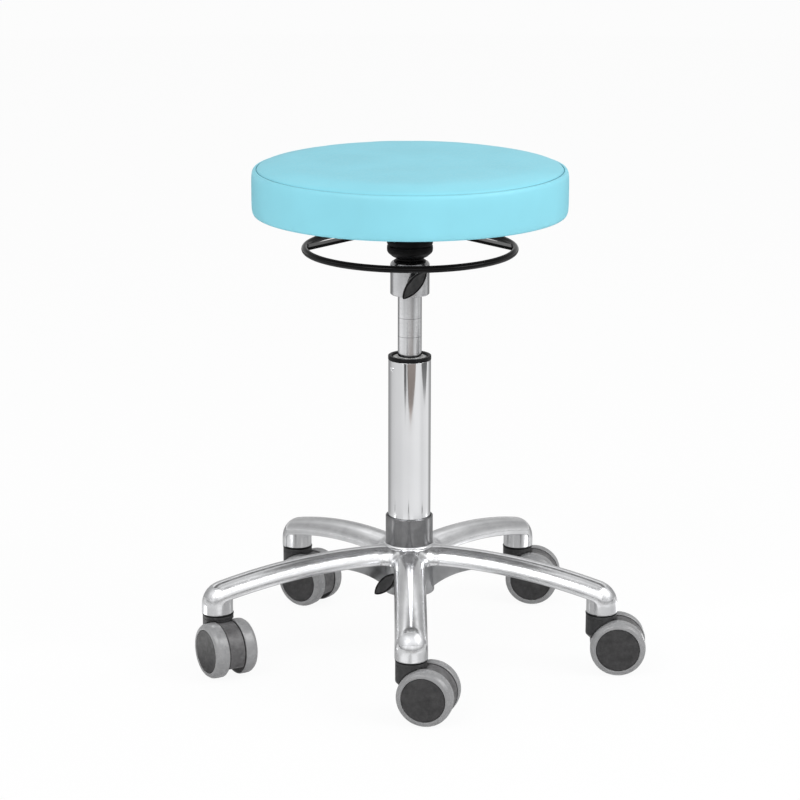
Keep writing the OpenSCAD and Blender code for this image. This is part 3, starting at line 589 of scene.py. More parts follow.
def soft_tyre(color):
    """Cast polyurethane tread, satin, with a little dust from the floor."""
    look = Finish("grey tyre", color, 0.26)
    look.tint(look.noise(48.0, 5.0, rough=0.6), scaled(color, 0.88), scaled(color, 1.10))
    look.roughness(look.noise(110.0, 3.0), 0.19, 0.34)
    look.bump(look.noise(700.0, 2.0), 0.00005, 0.2)
    return look.material


def zinc_steel():
    look = Finish("zinc plated steel", (0.58, 0.585, 0.60), 0.30, 1.0)
    look.tint(look.noise(40.0, 4.0), (0.50, 0.505, 0.52), (0.66, 0.665, 0.68))
    look.roughness(look.noise(70.0, 4.0), 0.24, 0.40)
    look.bump(look.noise(500.0, 2.0), 0.00004, 0.25)
    return look.material


def plain_brass():
    look = Finish("brass", (0.72, 0.55, 0.24), 0.28, 1.0)
    look.tint(look.noise(90.0, 4.0), (0.62, 0.46, 0.19), (0.80, 0.62, 0.30))
    look.roughness(look.noise(140.0, 3.0), 0.2, 0.4)
    return look.material


def birch_plywood():
    """Birch ply: long grain on the face and dark glue lines through its thickness."""
    look = Finish("birch plywood", (0.36, 0.31, 0.25), 0.6)
    grain = look.noise(30.0, 6.0, look.stretched((1.0, 14.0, 14.0)), 0.6)
    look.tint(grain, (0.27, 0.23, 0.18), (0.44, 0.385, 0.31))
    look.roughness(grain, 0.5, 0.72)
    look.bump(grain, 0.0001, 0.4)
    return look.material


def pale_bush():
    look = Finish("acetal bush", (0.62, 0.62, 0.61), 0.35)
    look.tint(look.noise(60.0, 3.0), (0.56, 0.56, 0.55), (0.68, 0.68, 0.67))
    look.roughness(look.noise(200.0, 2.0), 0.28, 0.42)
    look.bump(look.noise(900.0, 2.0), 0.00004, 0.2)
    return look.material


def upholstery_foam():
    look = Finish("upholstery foam", (0.80, 0.76, 0.58), 0.9)
    look.tint(look.cells(1200.0), (0.62, 0.58, 0.42), (0.86, 0.82, 0.64), 0.0, 0.8)
    look.bump(look.cells(1200.0), 0.0004, 0.8)
    return look.material


@cache
def finish(name):
    """Material by its name, which is that of a slot in the record where it serves one, made once."""
    scene = bpy.context.scene
    makers = {
        "turquoise_vinyl": lambda: vinyl(tuple(scene.stool_seat.vinyl)),
        # Thread much darker than the cover: partly its own colour, partly painted shade of the stitch
        # holes.
        "thread": lambda: thread((0.04, 0.20, 0.26)),
        "polished_aluminium": lambda: polished_casting(scene.stool_base.polish),
        "raw_casting": raw_casting,
        "chrome": chrome,
        "spring_tube": spring_tube,
        "turned_aluminium": turned_aluminium,
        "steel": zinc_steel,
        "black_steel": gloss_black,
        "black_plastic": black_plastic,
        "black_rubber": black_rubber,
        "dark_grey_plastic": lambda: grained_plastic(
            "dark grey moulding", tuple(scene.stool_castor.plastic)),
        # Dark plastic of the wheel discs and ribs: their own dark grey, and partly painted shade inside
        # the wheels.
        "wheel_plastic_and_shade": lambda: grained_plastic("dark wheel plastic and painted shade", (0.038, 0.037, 0.038), 0.46),
        # Blacker plastic of the stem bosses: painted shade.
        "boss_painted_shade": lambda: grained_plastic("castor boss painted shade", (0.030, 0.030, 0.031), 0.34),
        "hub_plastic": hub_moulding,
        # Lighter grey on the hollow face of a wing grip: painted sheen.
        "wing_face_painted_sheen": lambda: grained_plastic("wing face painted sheen", (0.035, 0.035, 0.036), 0.34),
        "grey_tyre": lambda: soft_tyre(tuple(scene.stool_castor.tyre)),
        "brass": plain_brass,
        "plywood": birch_plywood,
        "bush_plastic": pale_bush,
        "foam": upholstery_foam,
    }
    return makers[name]()


# Node trees

def tree_with(name, inputs):
    """Empty geometry node tree with an input for the path and named inputs for its sizes."""
    tree = bpy.data.node_groups.new(name, "GeometryNodeTree")
    face = tree.interface
    face.new_socket(name="Geometry", in_out="OUTPUT", socket_type="NodeSocketGeometry")
    face.new_socket(name="Path", in_out="INPUT", socket_type="NodeSocketGeometry")
    for label, kind, value in inputs:
        socket = face.new_socket(name=label, in_out="INPUT", socket_type=kind)
        if value is not None:
            socket.default_value = value
    return tree, tree.nodes.new("NodeGroupInput"), tree.nodes.new("NodeGroupOutput")


def ended(tree, instances, group_in, group_out):
    """Ends a tree in Realize Instances and Set Material."""
    real = tree.nodes.new("GeometryNodeRealizeInstances")
    paint = tree.nodes.new("GeometryNodeSetMaterial")
    tree.links.new(instances, real.inputs[0])
    tree.links.new(real.outputs[0], paint.inputs["Geometry"])
    tree.links.new(group_in.outputs["Material"], paint.inputs["Material"])
    tree.links.new(paint.outputs[0], group_out.inputs[0])


@cache
def along_path_tree():
    """Puts a small rounded bar at even steps along a path: stitches, staples."""
    tree, gin, gout = tree_with("Bars along a path", [
        ("Count", "NodeSocketInt", 100), ("Length", "NodeSocketFloat", 0.0018),
        ("Width", "NodeSocketFloat", 0.0005), ("Thickness", "NodeSocketFloat", 0.0005),
        ("Wander", "NodeSocketFloat", 0.05), ("Seed", "NodeSocketInt", 7),
        ("Material", "NodeSocketMaterial", None)])
    link, new = tree.links.new, tree.nodes.new
    curve = new("GeometryNodeMeshToCurve")
    link(gin.outputs["Path"], curve.inputs[0])
    even = new("GeometryNodeResampleCurve")
    link(curve.outputs[0], even.inputs["Curve"])
    link(gin.outputs["Count"], even.inputs["Count"])
    bead = new("GeometryNodeMeshUVSphere")
    bead.inputs["Segments"].default_value = 8
    bead.inputs["Rings"].default_value = 6
    bead.inputs["Radius"].default_value = 0.5
    size = new("ShaderNodeCombineXYZ")
    link(gin.outputs["Length"], size.inputs[0])
    link(gin.outputs["Width"], size.inputs[1])
    link(gin.outputs["Thickness"], size.inputs[2])
    shape = new("GeometryNodeTransform")
    link(bead.outputs[0], shape.inputs["Geometry"])
    link(size.outputs[0], shape.inputs["Scale"])
    along = new("GeometryNodeInputTangent")
    aim = new("FunctionNodeAlignRotationToVector")
    aim.axis = "X"
    link(along.outputs[0], aim.inputs["Vector"])
    stray = new("FunctionNodeRandomValue")
    stray.data_type = "FLOAT"
    low = new("ShaderNodeMath")
    low.operation = "MULTIPLY"
    low.inputs[1].default_value = -1.0
    link(gin.outputs["Wander"], low.inputs[0])
    link(low.outputs[0], stray.inputs[2])
    link(gin.outputs["Wander"], stray.inputs[3])
    link(gin.outputs["Seed"], stray.inputs["Seed"])
    turn = new("ShaderNodeCombineXYZ")
    link(stray.outputs[1], turn.inputs[2])
    bend = new("FunctionNodeEulerToRotation")
    link(turn.outputs[0], bend.inputs[0])
    twist = new("FunctionNodeRotateRotation")
    twist.rotation_space = "LOCAL"
    link(aim.outputs[0], twist.inputs[0])
    link(bend.outputs[0], twist.inputs[1])
    spread = new("GeometryNodeInstanceOnPoints")
    link(even.outputs[0], spread.inputs["Points"])
    link(shape.outputs[0], spread.inputs["Instance"])
    link(twist.outputs[0], spread.inputs["Rotation"])
    ended(tree, spread.outputs[0], gin, gout)
    return tree


@cache
def ribs_tree():
    """Puts flat ribs round an axis: the inside of a wheel."""
    tree, gin, gout = tree_with("Ribs round an axis", [
        ("Count", "NodeSocketInt", 12), ("Inner radius", "NodeSocketFloat", 0.008),
        ("Outer radius", "NodeSocketFloat", 0.024), ("Depth", "NodeSocketFloat", 0.008),
        ("Thickness", "NodeSocketFloat", 0.0014), ("Material", "NodeSocketMaterial", None)])
    link, new = tree.links.new, tree.nodes.new

    def worked_out(operation, a, b):
        """Result of an operation on a socket and another socket or a number."""
        node = new("ShaderNodeMath")
        node.operation = operation
        link(a, node.inputs[0])
        if isinstance(b, float):
            node.inputs[1].default_value = b
        else:
            link(b, node.inputs[1])
        return node.outputs[0]

    inner, outer = gin.outputs["Inner radius"], gin.outputs["Outer radius"]
    middle = worked_out("MULTIPLY", worked_out("ADD", inner, outer), 0.5)
    reach = worked_out("SUBTRACT", outer, inner)
    circle = new("GeometryNodeMeshCircle")
    link(gin.outputs["Count"], circle.inputs["Vertices"])
    link(middle, circle.inputs["Radius"])
    rib = new("GeometryNodeMeshCube")
    size = new("ShaderNodeCombineXYZ")
    link(reach, size.inputs[0])
    link(gin.outputs["Thickness"], size.inputs[1])
    link(gin.outputs["Depth"], size.inputs[2])
    link(size.outputs[0], rib.inputs["Size"])
    place = new("GeometryNodeInputPosition")
    aim = new("FunctionNodeAlignRotationToVector")
    aim.axis = "X"
    link(place.outputs[0], aim.inputs["Vector"])
    spread = new("GeometryNodeInstanceOnPoints")
    link(circle.outputs[0], spread.inputs["Points"])
    link(rib.outputs[0], spread.inputs["Instance"])
    link(aim.outputs[0], spread.inputs["Rotation"])
    ended(tree, spread.outputs[0], gin, gout)
    return tree


def grown(name, path, tree, values):
    """Runs a tree on a path, given as (vertices, edges) in millimetres. Returns a plain mesh object."""
    obj = linked(name, mesh_of(name, path[0], path[1]))
    modifier = obj.modifiers.new("tree", "NODES")
    modifier.node_group = tree
    for item in tree.interface.items_tree:
        if item.item_type == "SOCKET" and item.in_out == "INPUT" and item.name in values:
            modifier[item.identifier] = values[item.name]
    out = frozen(obj)
    shade(out.data, 50.0)
    return out


# Pieces that are turned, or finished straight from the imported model

def refined(node, body, bevel):
    """Smooth piece from a copy of a CAD node, with its edges broken by a small bevel, in millimetres."""
    mesh = frame["nodes"][node].data.copy()
    painted(mesh, SLOTS[node])
    work = bmesh.new()
    work.from_mesh(mesh)
    bmesh.ops.remove_doubles(work, verts=work.verts, dist=MERGE)
    bmesh.ops.dissolve_limit(work, angle_limit=math.radians(0.5), verts=work.verts, edges=work.edges)
    work.to_mesh(mesh)
    work.free()
    obj = linked(f"{node}_finished", mesh)
    edge = obj.modifiers.new("edge", "BEVEL")
    edge.width = bevel * MM
    edge.segments = 2
    edge.limit_method = "ANGLE"
    edge.angle_limit = math.radians(40)
    obj = frozen(obj)
    shade(obj.data, 40.0)
    rides(obj, body, SLOTS[node], node)


def turned_piece(name, body, look, node, profile, angle=34.0):
    """A piece turned about the axis of the column, in place of a CAD node."""
    obj = made(name, turned(profile, COLUMN_FACETS), look, angle=angle)
    rides(obj, body, SLOTS[node], node)


def radial_frame(azimuth, height, distance=0.0):
    """Matrix that lays a shape along +Z level and outwards, at an azimuth in degrees from the front
    towards the right."""
    return (Matrix.Rotation(math.radians(azimuth - 90.0), 4, "Z")
            @ Matrix.Translation((distance, 0.0, height)) @ Matrix.Rotation(math.pi / 2, 4, "Y"))


# Base casting, with its sizes in millimetres

SOCKET_RISE = 16.5
WEB_FOOT_RISE = 3.5
HUB_FOOT_Z = 74.9
HUB_R = 30.0
HUB_LEDGE_R = 30.6
COLUMN_BORE_R = 25.02
SCREW_BOSS_R = 8.0
SCREW_BOSS_REACH = 34.0


def arm_frame(index):
    """Matrix from the coordinates of an arm (out, across, up) to the frame. The first arm points along
    -Y."""
    return Matrix.Rotation(index * ARM_STEP - math.pi / 2, 4, "Z")


class ArmForm:
    """Shape of the five arms, in millimetres, worked out from the settings of the base."""

    def __init__(self, base):
        self.r = base.arm_radius / MM
        self.arch = base.arch_radius / MM
        self.fillet = base.fillet_radius / MM
        self.stem = base.stem_circle / MM
        self.wall = base.wall / MM
        self.skirt = 1.0
        self.half = ARM_STEP / 2
        self.reach = self.fillet + self.r
        self.start = self.reach / math.tan(self.half)
        self.end_z = HIGH["caster_washers"][2]
        self.bend = base.bend_radius / MM
        self.line_end_z = self.end_z + SOCKET_RISE
        self.centre_z = self.line_end_z - math.sqrt(self.arch ** 2 - (self.stem - self.start) ** 2)
        self.end_angle = math.acos((self.stem - self.bend - self.start) / (self.arch - self.bend))
        self.elbow_z = self.centre_z + (self.arch - self.bend) * math.sin(self.end_angle)
        self.straight = self.elbow_z - self.end_z
        self.line_z = self.centre_z + self.arch
        self.ridge_z = self.line_z + self.r
        self.web_foot_z = self.end_z + WEB_FOOT_RISE

    def half_section(self, radius):
        """Half section: points (across, up) from the crest to the lip beside the channel."""
        steps = 14
        points = []
        for i in range(steps + 1):
            a = math.pi / 2 * (1 - i / steps)
            points.append((radius * math.cos(a), radius * math.sin(a)))
        points += [(radius, -0.35 * self.skirt), (radius - 0.25, -0.8 * self.skirt),
                   (radius - 0.7, -self.skirt), (radius - 2.2, -self.skirt)]
        return points

    def hub_station(self, t):
        """Points of one side at a place on the fillet between two arms, in arm coordinates."""
        direction = math.pi + self.half + (math.pi / 2 - self.half) * t
        ex, ey = math.cos(direction), math.sin(direction)
        out = []
        for across, up in self.half_section(self.r):
            away = self.reach - across
            out.append((self.start + ex * away, self.reach + ey * away, self.line_z + up))
        crest = (self.start + ex * self.reach, self.reach + ey * self.reach)
        top = (crest[0], 0.0, self.ridge_z)
        under = (crest[0], crest[1], self.line_z - self.skirt)
        bottom = (crest[0], 0.0, self.line_z - self.skirt)
        return [top] + out + [under, bottom]

    def arch_station(self, angle, radius, centre=None):
        """Points of one side at an angle on the arch, or turned about the centre of the elbow."""
        cu, cz, line = centre or (self.start, self.centre_z, self.arch)
        c, s = math.cos(angle), math.sin(angle)
        out = [(cu + (line + up) * c, across, cz + (line + up) * s)
               for across, up in self.half_section(radius)]
        top = (cu + (line + radius) * c, 0.0, cz + (line + radius) * s)
        low = (cu + (line - self.skirt) * c, 0.0, cz + (line - self.skirt) * s)
        return [top] + out + [low, low]

    def side_rows(self):
        """All stations of one side of an arm, from the bisector to the foot of the socket."""
        fillet_steps, arch_steps, bend_steps = 16, 44, 20
        growth, rim_share = 0.3, 0.985
        rows = [self.hub_station(i / fillet_steps) for i in range(fillet_steps)]
        for i in range(arch_steps + 1):
            angle = math.pi / 2 + (self.end_angle - math.pi / 2) * i / arch_steps
            rows.append(self.arch_station(angle, self.r))
        elbow = (self.stem - self.bend, self.elbow_z, self.bend)
        for i in range(1, bend_steps + 1):
            share = i / bend_steps
            rows.append(self.arch_station(self.end_angle * (1 - share), self.r + growth * share, elbow))
        last = rows[-1]
        for drop in (0.3 * self.straight, 0.6 * self.straight, self.straight - 1.6, self.straight - 0.7):
            rows.append([(u, v, self.elbow_z - drop) for u, v, z in last])
        rows.append([(self.stem + (u - self.stem) * rim_share, v * rim_share, self.end_z)
                     for u, v, z in last])
        return rows


def base_shell(form):
    """Closed shell of the polished outside: five arms that run into each other at the hub."""
    verts, faces = [], []
    for arm in range(ARM_COUNT):
        matrix = arm_frame(arm)
        for side in (1, -1):
            rows = form.side_rows()
            count = len(rows[0])
            start = len(verts)
            for row in rows:
                verts += [tuple(matrix @ Vector((u, side * v, z))) for u, v, z in row]
            for i in range(len(rows) - 1):
                for k in range(count - 1):
                    a = start + i * count + k
                    faces.append((a, a + 1, a + count + 1, a + count))
            end = start + (len(rows) - 1) * count
            faces.append(tuple(range(end, end + count)))
            hub_top = len(verts)
            verts += [(0.0, 0.0, form.ridge_z), (0.0, 0.0, form.line_z - form.skirt)]
            faces.append((hub_top, start, start + 1))
            faces.append((hub_top + 1, start + count - 2, start + count - 1))
    return verts, faces


def channel_shape(form, arm):
    """What is hollow under an arm."""
    radius = form.r - form.wall
    first, draft, low = 31.0, 0.35, form.skirt + 1.5
    root = math.pi / 2 + math.asin((form.start - first) / form.arch)
    stop = math.acos((form.stem - form.r / 2 - form.start) / form.arch)
    vault = [(radius * math.cos(a), radius * math.sin(a)) for a in (math.pi * k / 24 for k in range(25))]
    outline = [(radius + draft, -low)] + vault + [(-radius - draft, -low)]
    sections = []
    steps = 48
    for i in range(steps + 1):
        angle = root + (stop - root) * i / steps
        c, s = math.cos(angle), math.sin(angle)
        sections.append([(form.start + (form.arch + up) * c, across, form.centre_z + (form.arch + up) * s)
                         for across, up in outline])
    return placed(lofted(sections), arm_frame(arm))


def round_bar(radius, low, high, ease=0.0):
    """Upright cylinder about the axis of the column, with its lower edge eased."""
    profile = eased([(0.0, low, 0), (radius, low, ease), (radius, high, 0), (0.0, high, 0)], 3)
    return turned(profile, COLUMN_FACETS)


def socket_back(form):
    """The half of a castor socket that faces the hub, a little inside the sweep of the arm."""
    radius, overlap, rim_share = form.r - 0.9, 1.0, 0.97
    outline = [(form.stem + overlap, radius)]
    outline += [(form.stem + radius * math.cos(a), radius * math.sin(a))
                for a in (math.pi / 2 + math.pi * k / 36 for k in range(37))]
    outline.append((form.stem + overlap, -radius))
    rim = [(form.stem + (u - form.stem) * rim_share, v * rim_share) for u, v in outline]
    levels = ((form.end_z + 0.02, rim), (form.end_z + 0.6, outline), (form.line_end_z + 4.8, outline))
    return lofted([[(u, v, z) for u, v in ring] for z, ring in levels])


def web_shape(form, arm):
    """Web under an arm, with a hollow lower edge."""
    half, root, reach, bow = 2.5, 27.5, 106.0, 113.0
    edge_z = form.centre_z - form.skirt + math.sqrt(form.arch ** 2 - (reach - form.start) ** 2)
    first = math.acos((reach - root) / bow)
    outline = []
    steps = 24
    for i in range(steps + 1):
        angle = first + (math.pi / 2 - first) * i / steps
        z = edge_z - bow + bow * math.sin(angle)
        outline.append((reach - bow * math.cos(angle), max(z, form.web_foot_z)))
    steps = 8
    for i in range(steps + 1):
        u = reach + (root - reach) * i / steps
        line = form.centre_z + math.sqrt(form.arch ** 2 - (u - form.start) ** 2)
        outline.append((u, line + form.r - form.wall / 2))
    sections = [[(u, v, z) for u, z in outline] for v in (-half, half)]
    return placed(lofted(sections), arm_frame(arm))


def raw_face(form, centre):
    """True where a face of the casting isn't polished: the channels, the webs and the hub below the
    arms."""
    x, y, z = (v / MM for v in centre)
    below = 0.05
    turn = round((math.atan2(y, x) + math.pi / 2) / ARM_STEP) * ARM_STEP - math.pi / 2
    u = x * math.cos(turn) + y * math.sin(turn)
    v = -x * math.sin(turn) + y * math.cos(turn)
    if math.hypot(u - form.stem, v) < form.r + 1.0 and z < form.line_end_z + 3.0:
        return z < form.end_z + 0.2
    if math.hypot(u, v) < HUB_LEDGE_R:
        return z < form.line_z - form.skirt
    if u < form.start:
        up = z - form.line_z
        return up < -form.skirt - below or up < 12.0 and math.hypot(v, up) < form.r - 2.0
    up = math.hypot(u - form.start, z - form.centre_z) - form.arch
    return up < -form.skirt - below or math.hypot(v, up) < form.r - 1.2


class STOOL_OT_base(bpy.types.Operator):
    """Make the five-arm base casting with its hollow arms, webs and hub"""
    bl_idname = "stool.base"
    bl_label = "Base casting"

    def execute(self, context):
        form = ArmForm(context.scene.stool_base)
        steps = [("DIFFERENCE", channel_shape(form, arm)) for arm in range(ARM_COUNT)]
        for arm in range(ARM_COUNT):
            steps.append(("UNION", placed(socket_back(form), arm_frame(arm))))
            steps.append(("UNION", web_shape(form, arm)))
        steps.append(("UNION", round_bar(HUB_R, HUB_FOOT_Z, form.line_z + 6.0, ease=1.0)))
        base, ridge = form.line_z + 8.0, form.ridge_z
        ledge = [(0.0, base), (HUB_LEDGE_R, base), (HUB_LEDGE_R, ridge - 0.6), (29.3, ridge + 0.15),
                 (28.75, ridge + 0.9), (28.6, ridge + 2.0), (0.0, ridge + 2.0)]
        steps.append(("UNION", turned(ledge, COLUMN_FACETS)))
        boss = eased([(0.0, 0.0, 0), (SCREW_BOSS_R, 0.0, 0), (SCREW_BOSS_R, SCREW_BOSS_REACH, 0.8),
                      (0.0, SCREW_BOSS_REACH, 0)], 4)
        screw_frame = radial_frame(LOWER_SCREW_AZIMUTH, LOWER_SCREW_Z)
        steps.append(("UNION", placed(turned(boss, 64), screw_frame)))
        steps.append(("DIFFERENCE", round_bar(COLUMN_BORE_R, HUB_FOOT_Z - 2.0, ridge + 5.0)))
        obj = combined("base_casting", base_shell(form), steps)
        painted(obj.data, "polished_aluminium", "raw_casting")
        for face in obj.data.polygons:
            face.material_index = 1 if raw_face(form, face.center) else 0
        shade(obj.data, 38.0)
        rides(obj, "base", "polished_aluminium", "star_base")
        return {"FINISHED"}


# Castors

def stem_place(index):
    """Axis of a castor's stem on the floor, in millimetres."""
    return arm_frame(index) @ Vector((bpy.context.scene.stool_base.stem_circle / MM, 0.0, 0.0))


def castor_frame(index):
    """Matrix from a castor's own coordinates (stem at the origin, axle behind it along +X) to the
    frame."""
    turn = Matrix.Rotation(-math.radians(AXLE_TURNS[index]), 4, "Z")
    return Matrix.Translation(stem_place(index)) @ turn


def wheel_frame(index, side):
    """Matrix from a wheel's own coordinates (axis along +Z, inner face at 0, outwards up) to the
    frame."""
    castor = bpy.context.scene.stool_castor
    turn = math.pi / 2 if side == "a" else -math.pi / 2
    return (castor_frame(index)
            @ Matrix.Translation((castor.trail / MM, 0.0, castor.wheel_radius / MM))
            @ Matrix.Rotation(turn, 4, "X") @ Matrix.Translation((0.0, 0.0, HOOD_WIDTH / 2 + WHEEL_GAP)))


def in_metres(matrix):
    """The same move for a mesh in metres."""
    out = matrix.copy()
    out.translation *= MM
    return out


def hood_parts(castor):
    """Castor body: stem boss, mudguard, middle wall and axle boss, as a base shape and its steps."""
    wheel_r, trail = castor.wheel_radius / MM, castor.trail / MM
    half = HOOD_WIDTH / 2
    axle = Matrix.Translation((trail, 0.0, wheel_r)) @ Matrix.Rotation(math.pi / 2, 4, "X")
    top, groove_r = HIGH["hood_front"][2], STEM_BOSS_R - 0.45
    boss = eased([(0.0, 40.0, 0), (13.0, 40.0, 1.5), (STEM_BOSS_R, 45.0, 2.5),
                  (STEM_BOSS_R, top - 4.2, 0.25), (groove_r, top - 4.0, 0.15), (groove_r, top - 3.6, 0.15),
                  (STEM_BOSS_R, top - 3.4, 0.25), (STEM_BOSS_R, top, 0.7), (0.0, top, 0)], 4)
    steps = []
    cut_r, cut_depth = wheel_r + 1.0, 30.0
    cut = turned([(0.0, 0.0), (cut_r, 0.0), (cut_r, cut_depth), (0.0, cut_depth)], 160)
    for turn in (0.0, math.pi):
        side = Matrix.Rotation(turn, 4, "X") @ Matrix.Translation((0, 0, half))
        steps.append(("DIFFERENCE", placed(cut, axle @ side)))
    outer, thick, wall_half = wheel_r - 1.5, 3.0, 3.0
    middle = outer - thick / 2
    section = eased([(outer, -half, 0.9), (outer, half, 0.9), (outer - thick, half, 0.4),
                     (outer - thick, -half, 0.4)], 4, closed=True)
    tip_shares = (0.55, 0.85, 0.97)
    first, sweep, count = -35, 186, 72
    sections = []
    for i in range(count + 1):
        angle = math.radians(first + sweep * i / count)
        share = tip_shares[i] if i < len(tip_shares) else 1.0
        sections.append([((middle + (r - middle) * share) * math.cos(angle),
                          (middle + (r - middle) * share) * math.sin(angle), y * (0.96 + 0.04 * share))
                         for r, y in section])
    steps.append(("UNION", placed(lofted(sections), axle)))
    first, sweep, count = -33, 178, 48
    fan = [(0.0, 0.0)] + [(middle * math.cos(a), middle * math.sin(a))
                          for a in (math.radians(first + sweep * i / count) for i in range(count + 1))]
    wall = lofted([[(x, y, z) for x, y in fan] for z in (-wall_half, wall_half)])
    steps.append(("UNION", placed(wall, axle)))
    axle_boss_r = 8.0
    hub = eased([(0.0, -half, 0), (axle_boss_r, -half, 0.6), (axle_boss_r, half, 0.6), (0.0, half, 0)], 3)
    steps.append(("UNION", placed(turned(hub, 64), axle)))
    return turned(boss, 128), steps


def tyre_profile(r):
    """Outline of a tyre on a wheel of radius r, from its inner edge over the tread to its lip."""
    low, lip, w = 0.12, 14.52, WHEEL_WIDTH
    return eased([(r - 5.45, low, 0), (r - 1.0, low, 0.5), (r - 0.1, 1.2, 1.2), (r, 7.5, 3.0),
                  (r - 0.35, 12.0, 4.0), (r - 3.0, w - 0.9, 3.2), (r - 5.9, w, 0.7),
                  (r - 6.6, w - 0.15, 0.3), (r - 7.0, w - 0.9, 0.3), (r - 7.0, lip, 0),
                  (r - 5.45, lip, 0)], 5, closed=True)


def disc_profile(r):
    """Outline of a wheel disc: a face with a raised edge, a rim, a hollow back and a hub."""
    face, rim, back, hub_r, bore_r = WHEEL_WIDTH - 0.5, 14.4, 13.2, 8.0, 4.1
    return eased([(0.0, face - 0.35, 0), (r - 14.0, face - 0.25, 6.0), (r - 9.2, face, 1.2),
                  (r - 7.7, face - 0.05, 0.35), (r - 7.32, face - 0.6, 0.2), (r - 7.32, rim, 0),
                  (r - 5.55, rim, 0), (r - 5.55, 0.02, 0), (r - 1.3, 0.02, 0.05), (r - 1.3, -0.4, 0.15),
                  (r - 8.3, -0.4, 0.15), (r - 8.5, 1.0, 0.2), (r - 8.5, back, 0.8), (hub_r, back, 0.8),
                  (hub_r, 0.0, 0.4), (bore_r, 0.0, 0.2), (bore_r, back - 0.3, 0), (0.0, back - 0.3, 0)], 3)


class STOOL_OT_castors(bpy.types.Operator):
    """Make the five twin-wheel castors: bodies, wheel discs with their ribs, and tyres"""
    bl_idname = "stool.castors"
    bl_label = "Castors"

    def execute(self, context):
        castor = context.scene.stool_castor
        model = combined("castor_body", *hood_parts(castor))
        for index, name in enumerate(CASTORS):
            self.body(model.data, index, name)
            for side in ("a", "b"):
                self.wheel(castor, index, name, side)
        discarded(model)
        for name in CASTORS:
            refined(f"axle_{name}", f"caster_{name}", 0.4)
        refined("caster_stems", "base", 0.3)
        low, high = LOW["caster_washers"][2], HIGH["caster_washers"][2] - 0.05
        outline = eased([(9.05, low, 0.2), (18.4, low, 0.6), (18.4, high, 0.6), (9.05, high, 0.2)],
                        3, closed=True)
        rings = [placed(turned(outline, 96), Matrix.Translation(stem_place(index)))
                 for index in range(ARM_COUNT)]
        washers = made("washers_black", joined(*rings), "black_plastic")
        rides(washers, "base", "black_plastic", "caster_washers")
        return {"FINISHED"}

    @staticmethod
    def body(model, index, name):
        """Castor body at its place, with the stem boss over the mudguard painted blacker as painted shade.
        """
        mesh = model.copy()
        place = castor_frame(index)
        back = place.inverted()
        mesh.transform(in_metres(place))
        painted(mesh, "dark_grey_plastic", "boss_painted_shade")
        # Faces of the stem boss take a blacker plastic: painted shade, set against the lighter mudguard
        # that faces the light between the wheels.
        for face in mesh.polygons:
            x, y, z = back @ (face.center / MM)
            face.material_index = 1 if math.hypot(x, y) < STEM_BOSS_R + 0.3 and z > 46.0 else 0
        shade(mesh, 36.0)
        rides(linked(f"castor_body_{name}", mesh), f"caster_{name}", "dark_grey_plastic", f"hood_{name}")

    @staticmethod
    def wheel(castor, index, name, side):
        """Tyre, disc and ribs of one wheel."""
        body = f"wheel_{name}_{side}"
        wheel_r = castor.wheel_radius / MM
        place = wheel_frame(index, side)
        tyre = made(f"tyre_{name}_{side}_soft", placed(turned(tyre_profile(wheel_r), 144), place),
                    "grey_tyre", angle=50.0)
        rides(tyre, body, "grey_tyre", f"tyre_{name}_{side}")
        # The disc and its ribs take a plastic much darker than the body. This is partly the disc's own
        # dark grey and partly painted shade inside the wheel and in the gap beside the body.
        disc = made(f"disc_{name}_{side}_moulded", placed(turned(disc_profile(wheel_r), 144), place),
                    "wheel_plastic_and_shade")
        rides(disc, body, "dark_grey_plastic", f"disc_{name}_{side}")
        ribs = grown(f"ribs_{name}_{side}", ([(0.0, 0.0, 0.0)], []), ribs_tree(), {
            "Count": castor.rib_count, "Inner radius": 0.0072, "Outer radius": 0.0247,
            "Depth": 0.0077, "Thickness": 0.0016, "Material": finish("wheel_plastic_and_shade")})
        rib_middle = 9.3
        ribs.data.transform(in_metres(place @ Matrix.Translation((0.0, 0.0, rib_middle))))
        rides(ribs, body, "dark_grey_plastic")


# Column

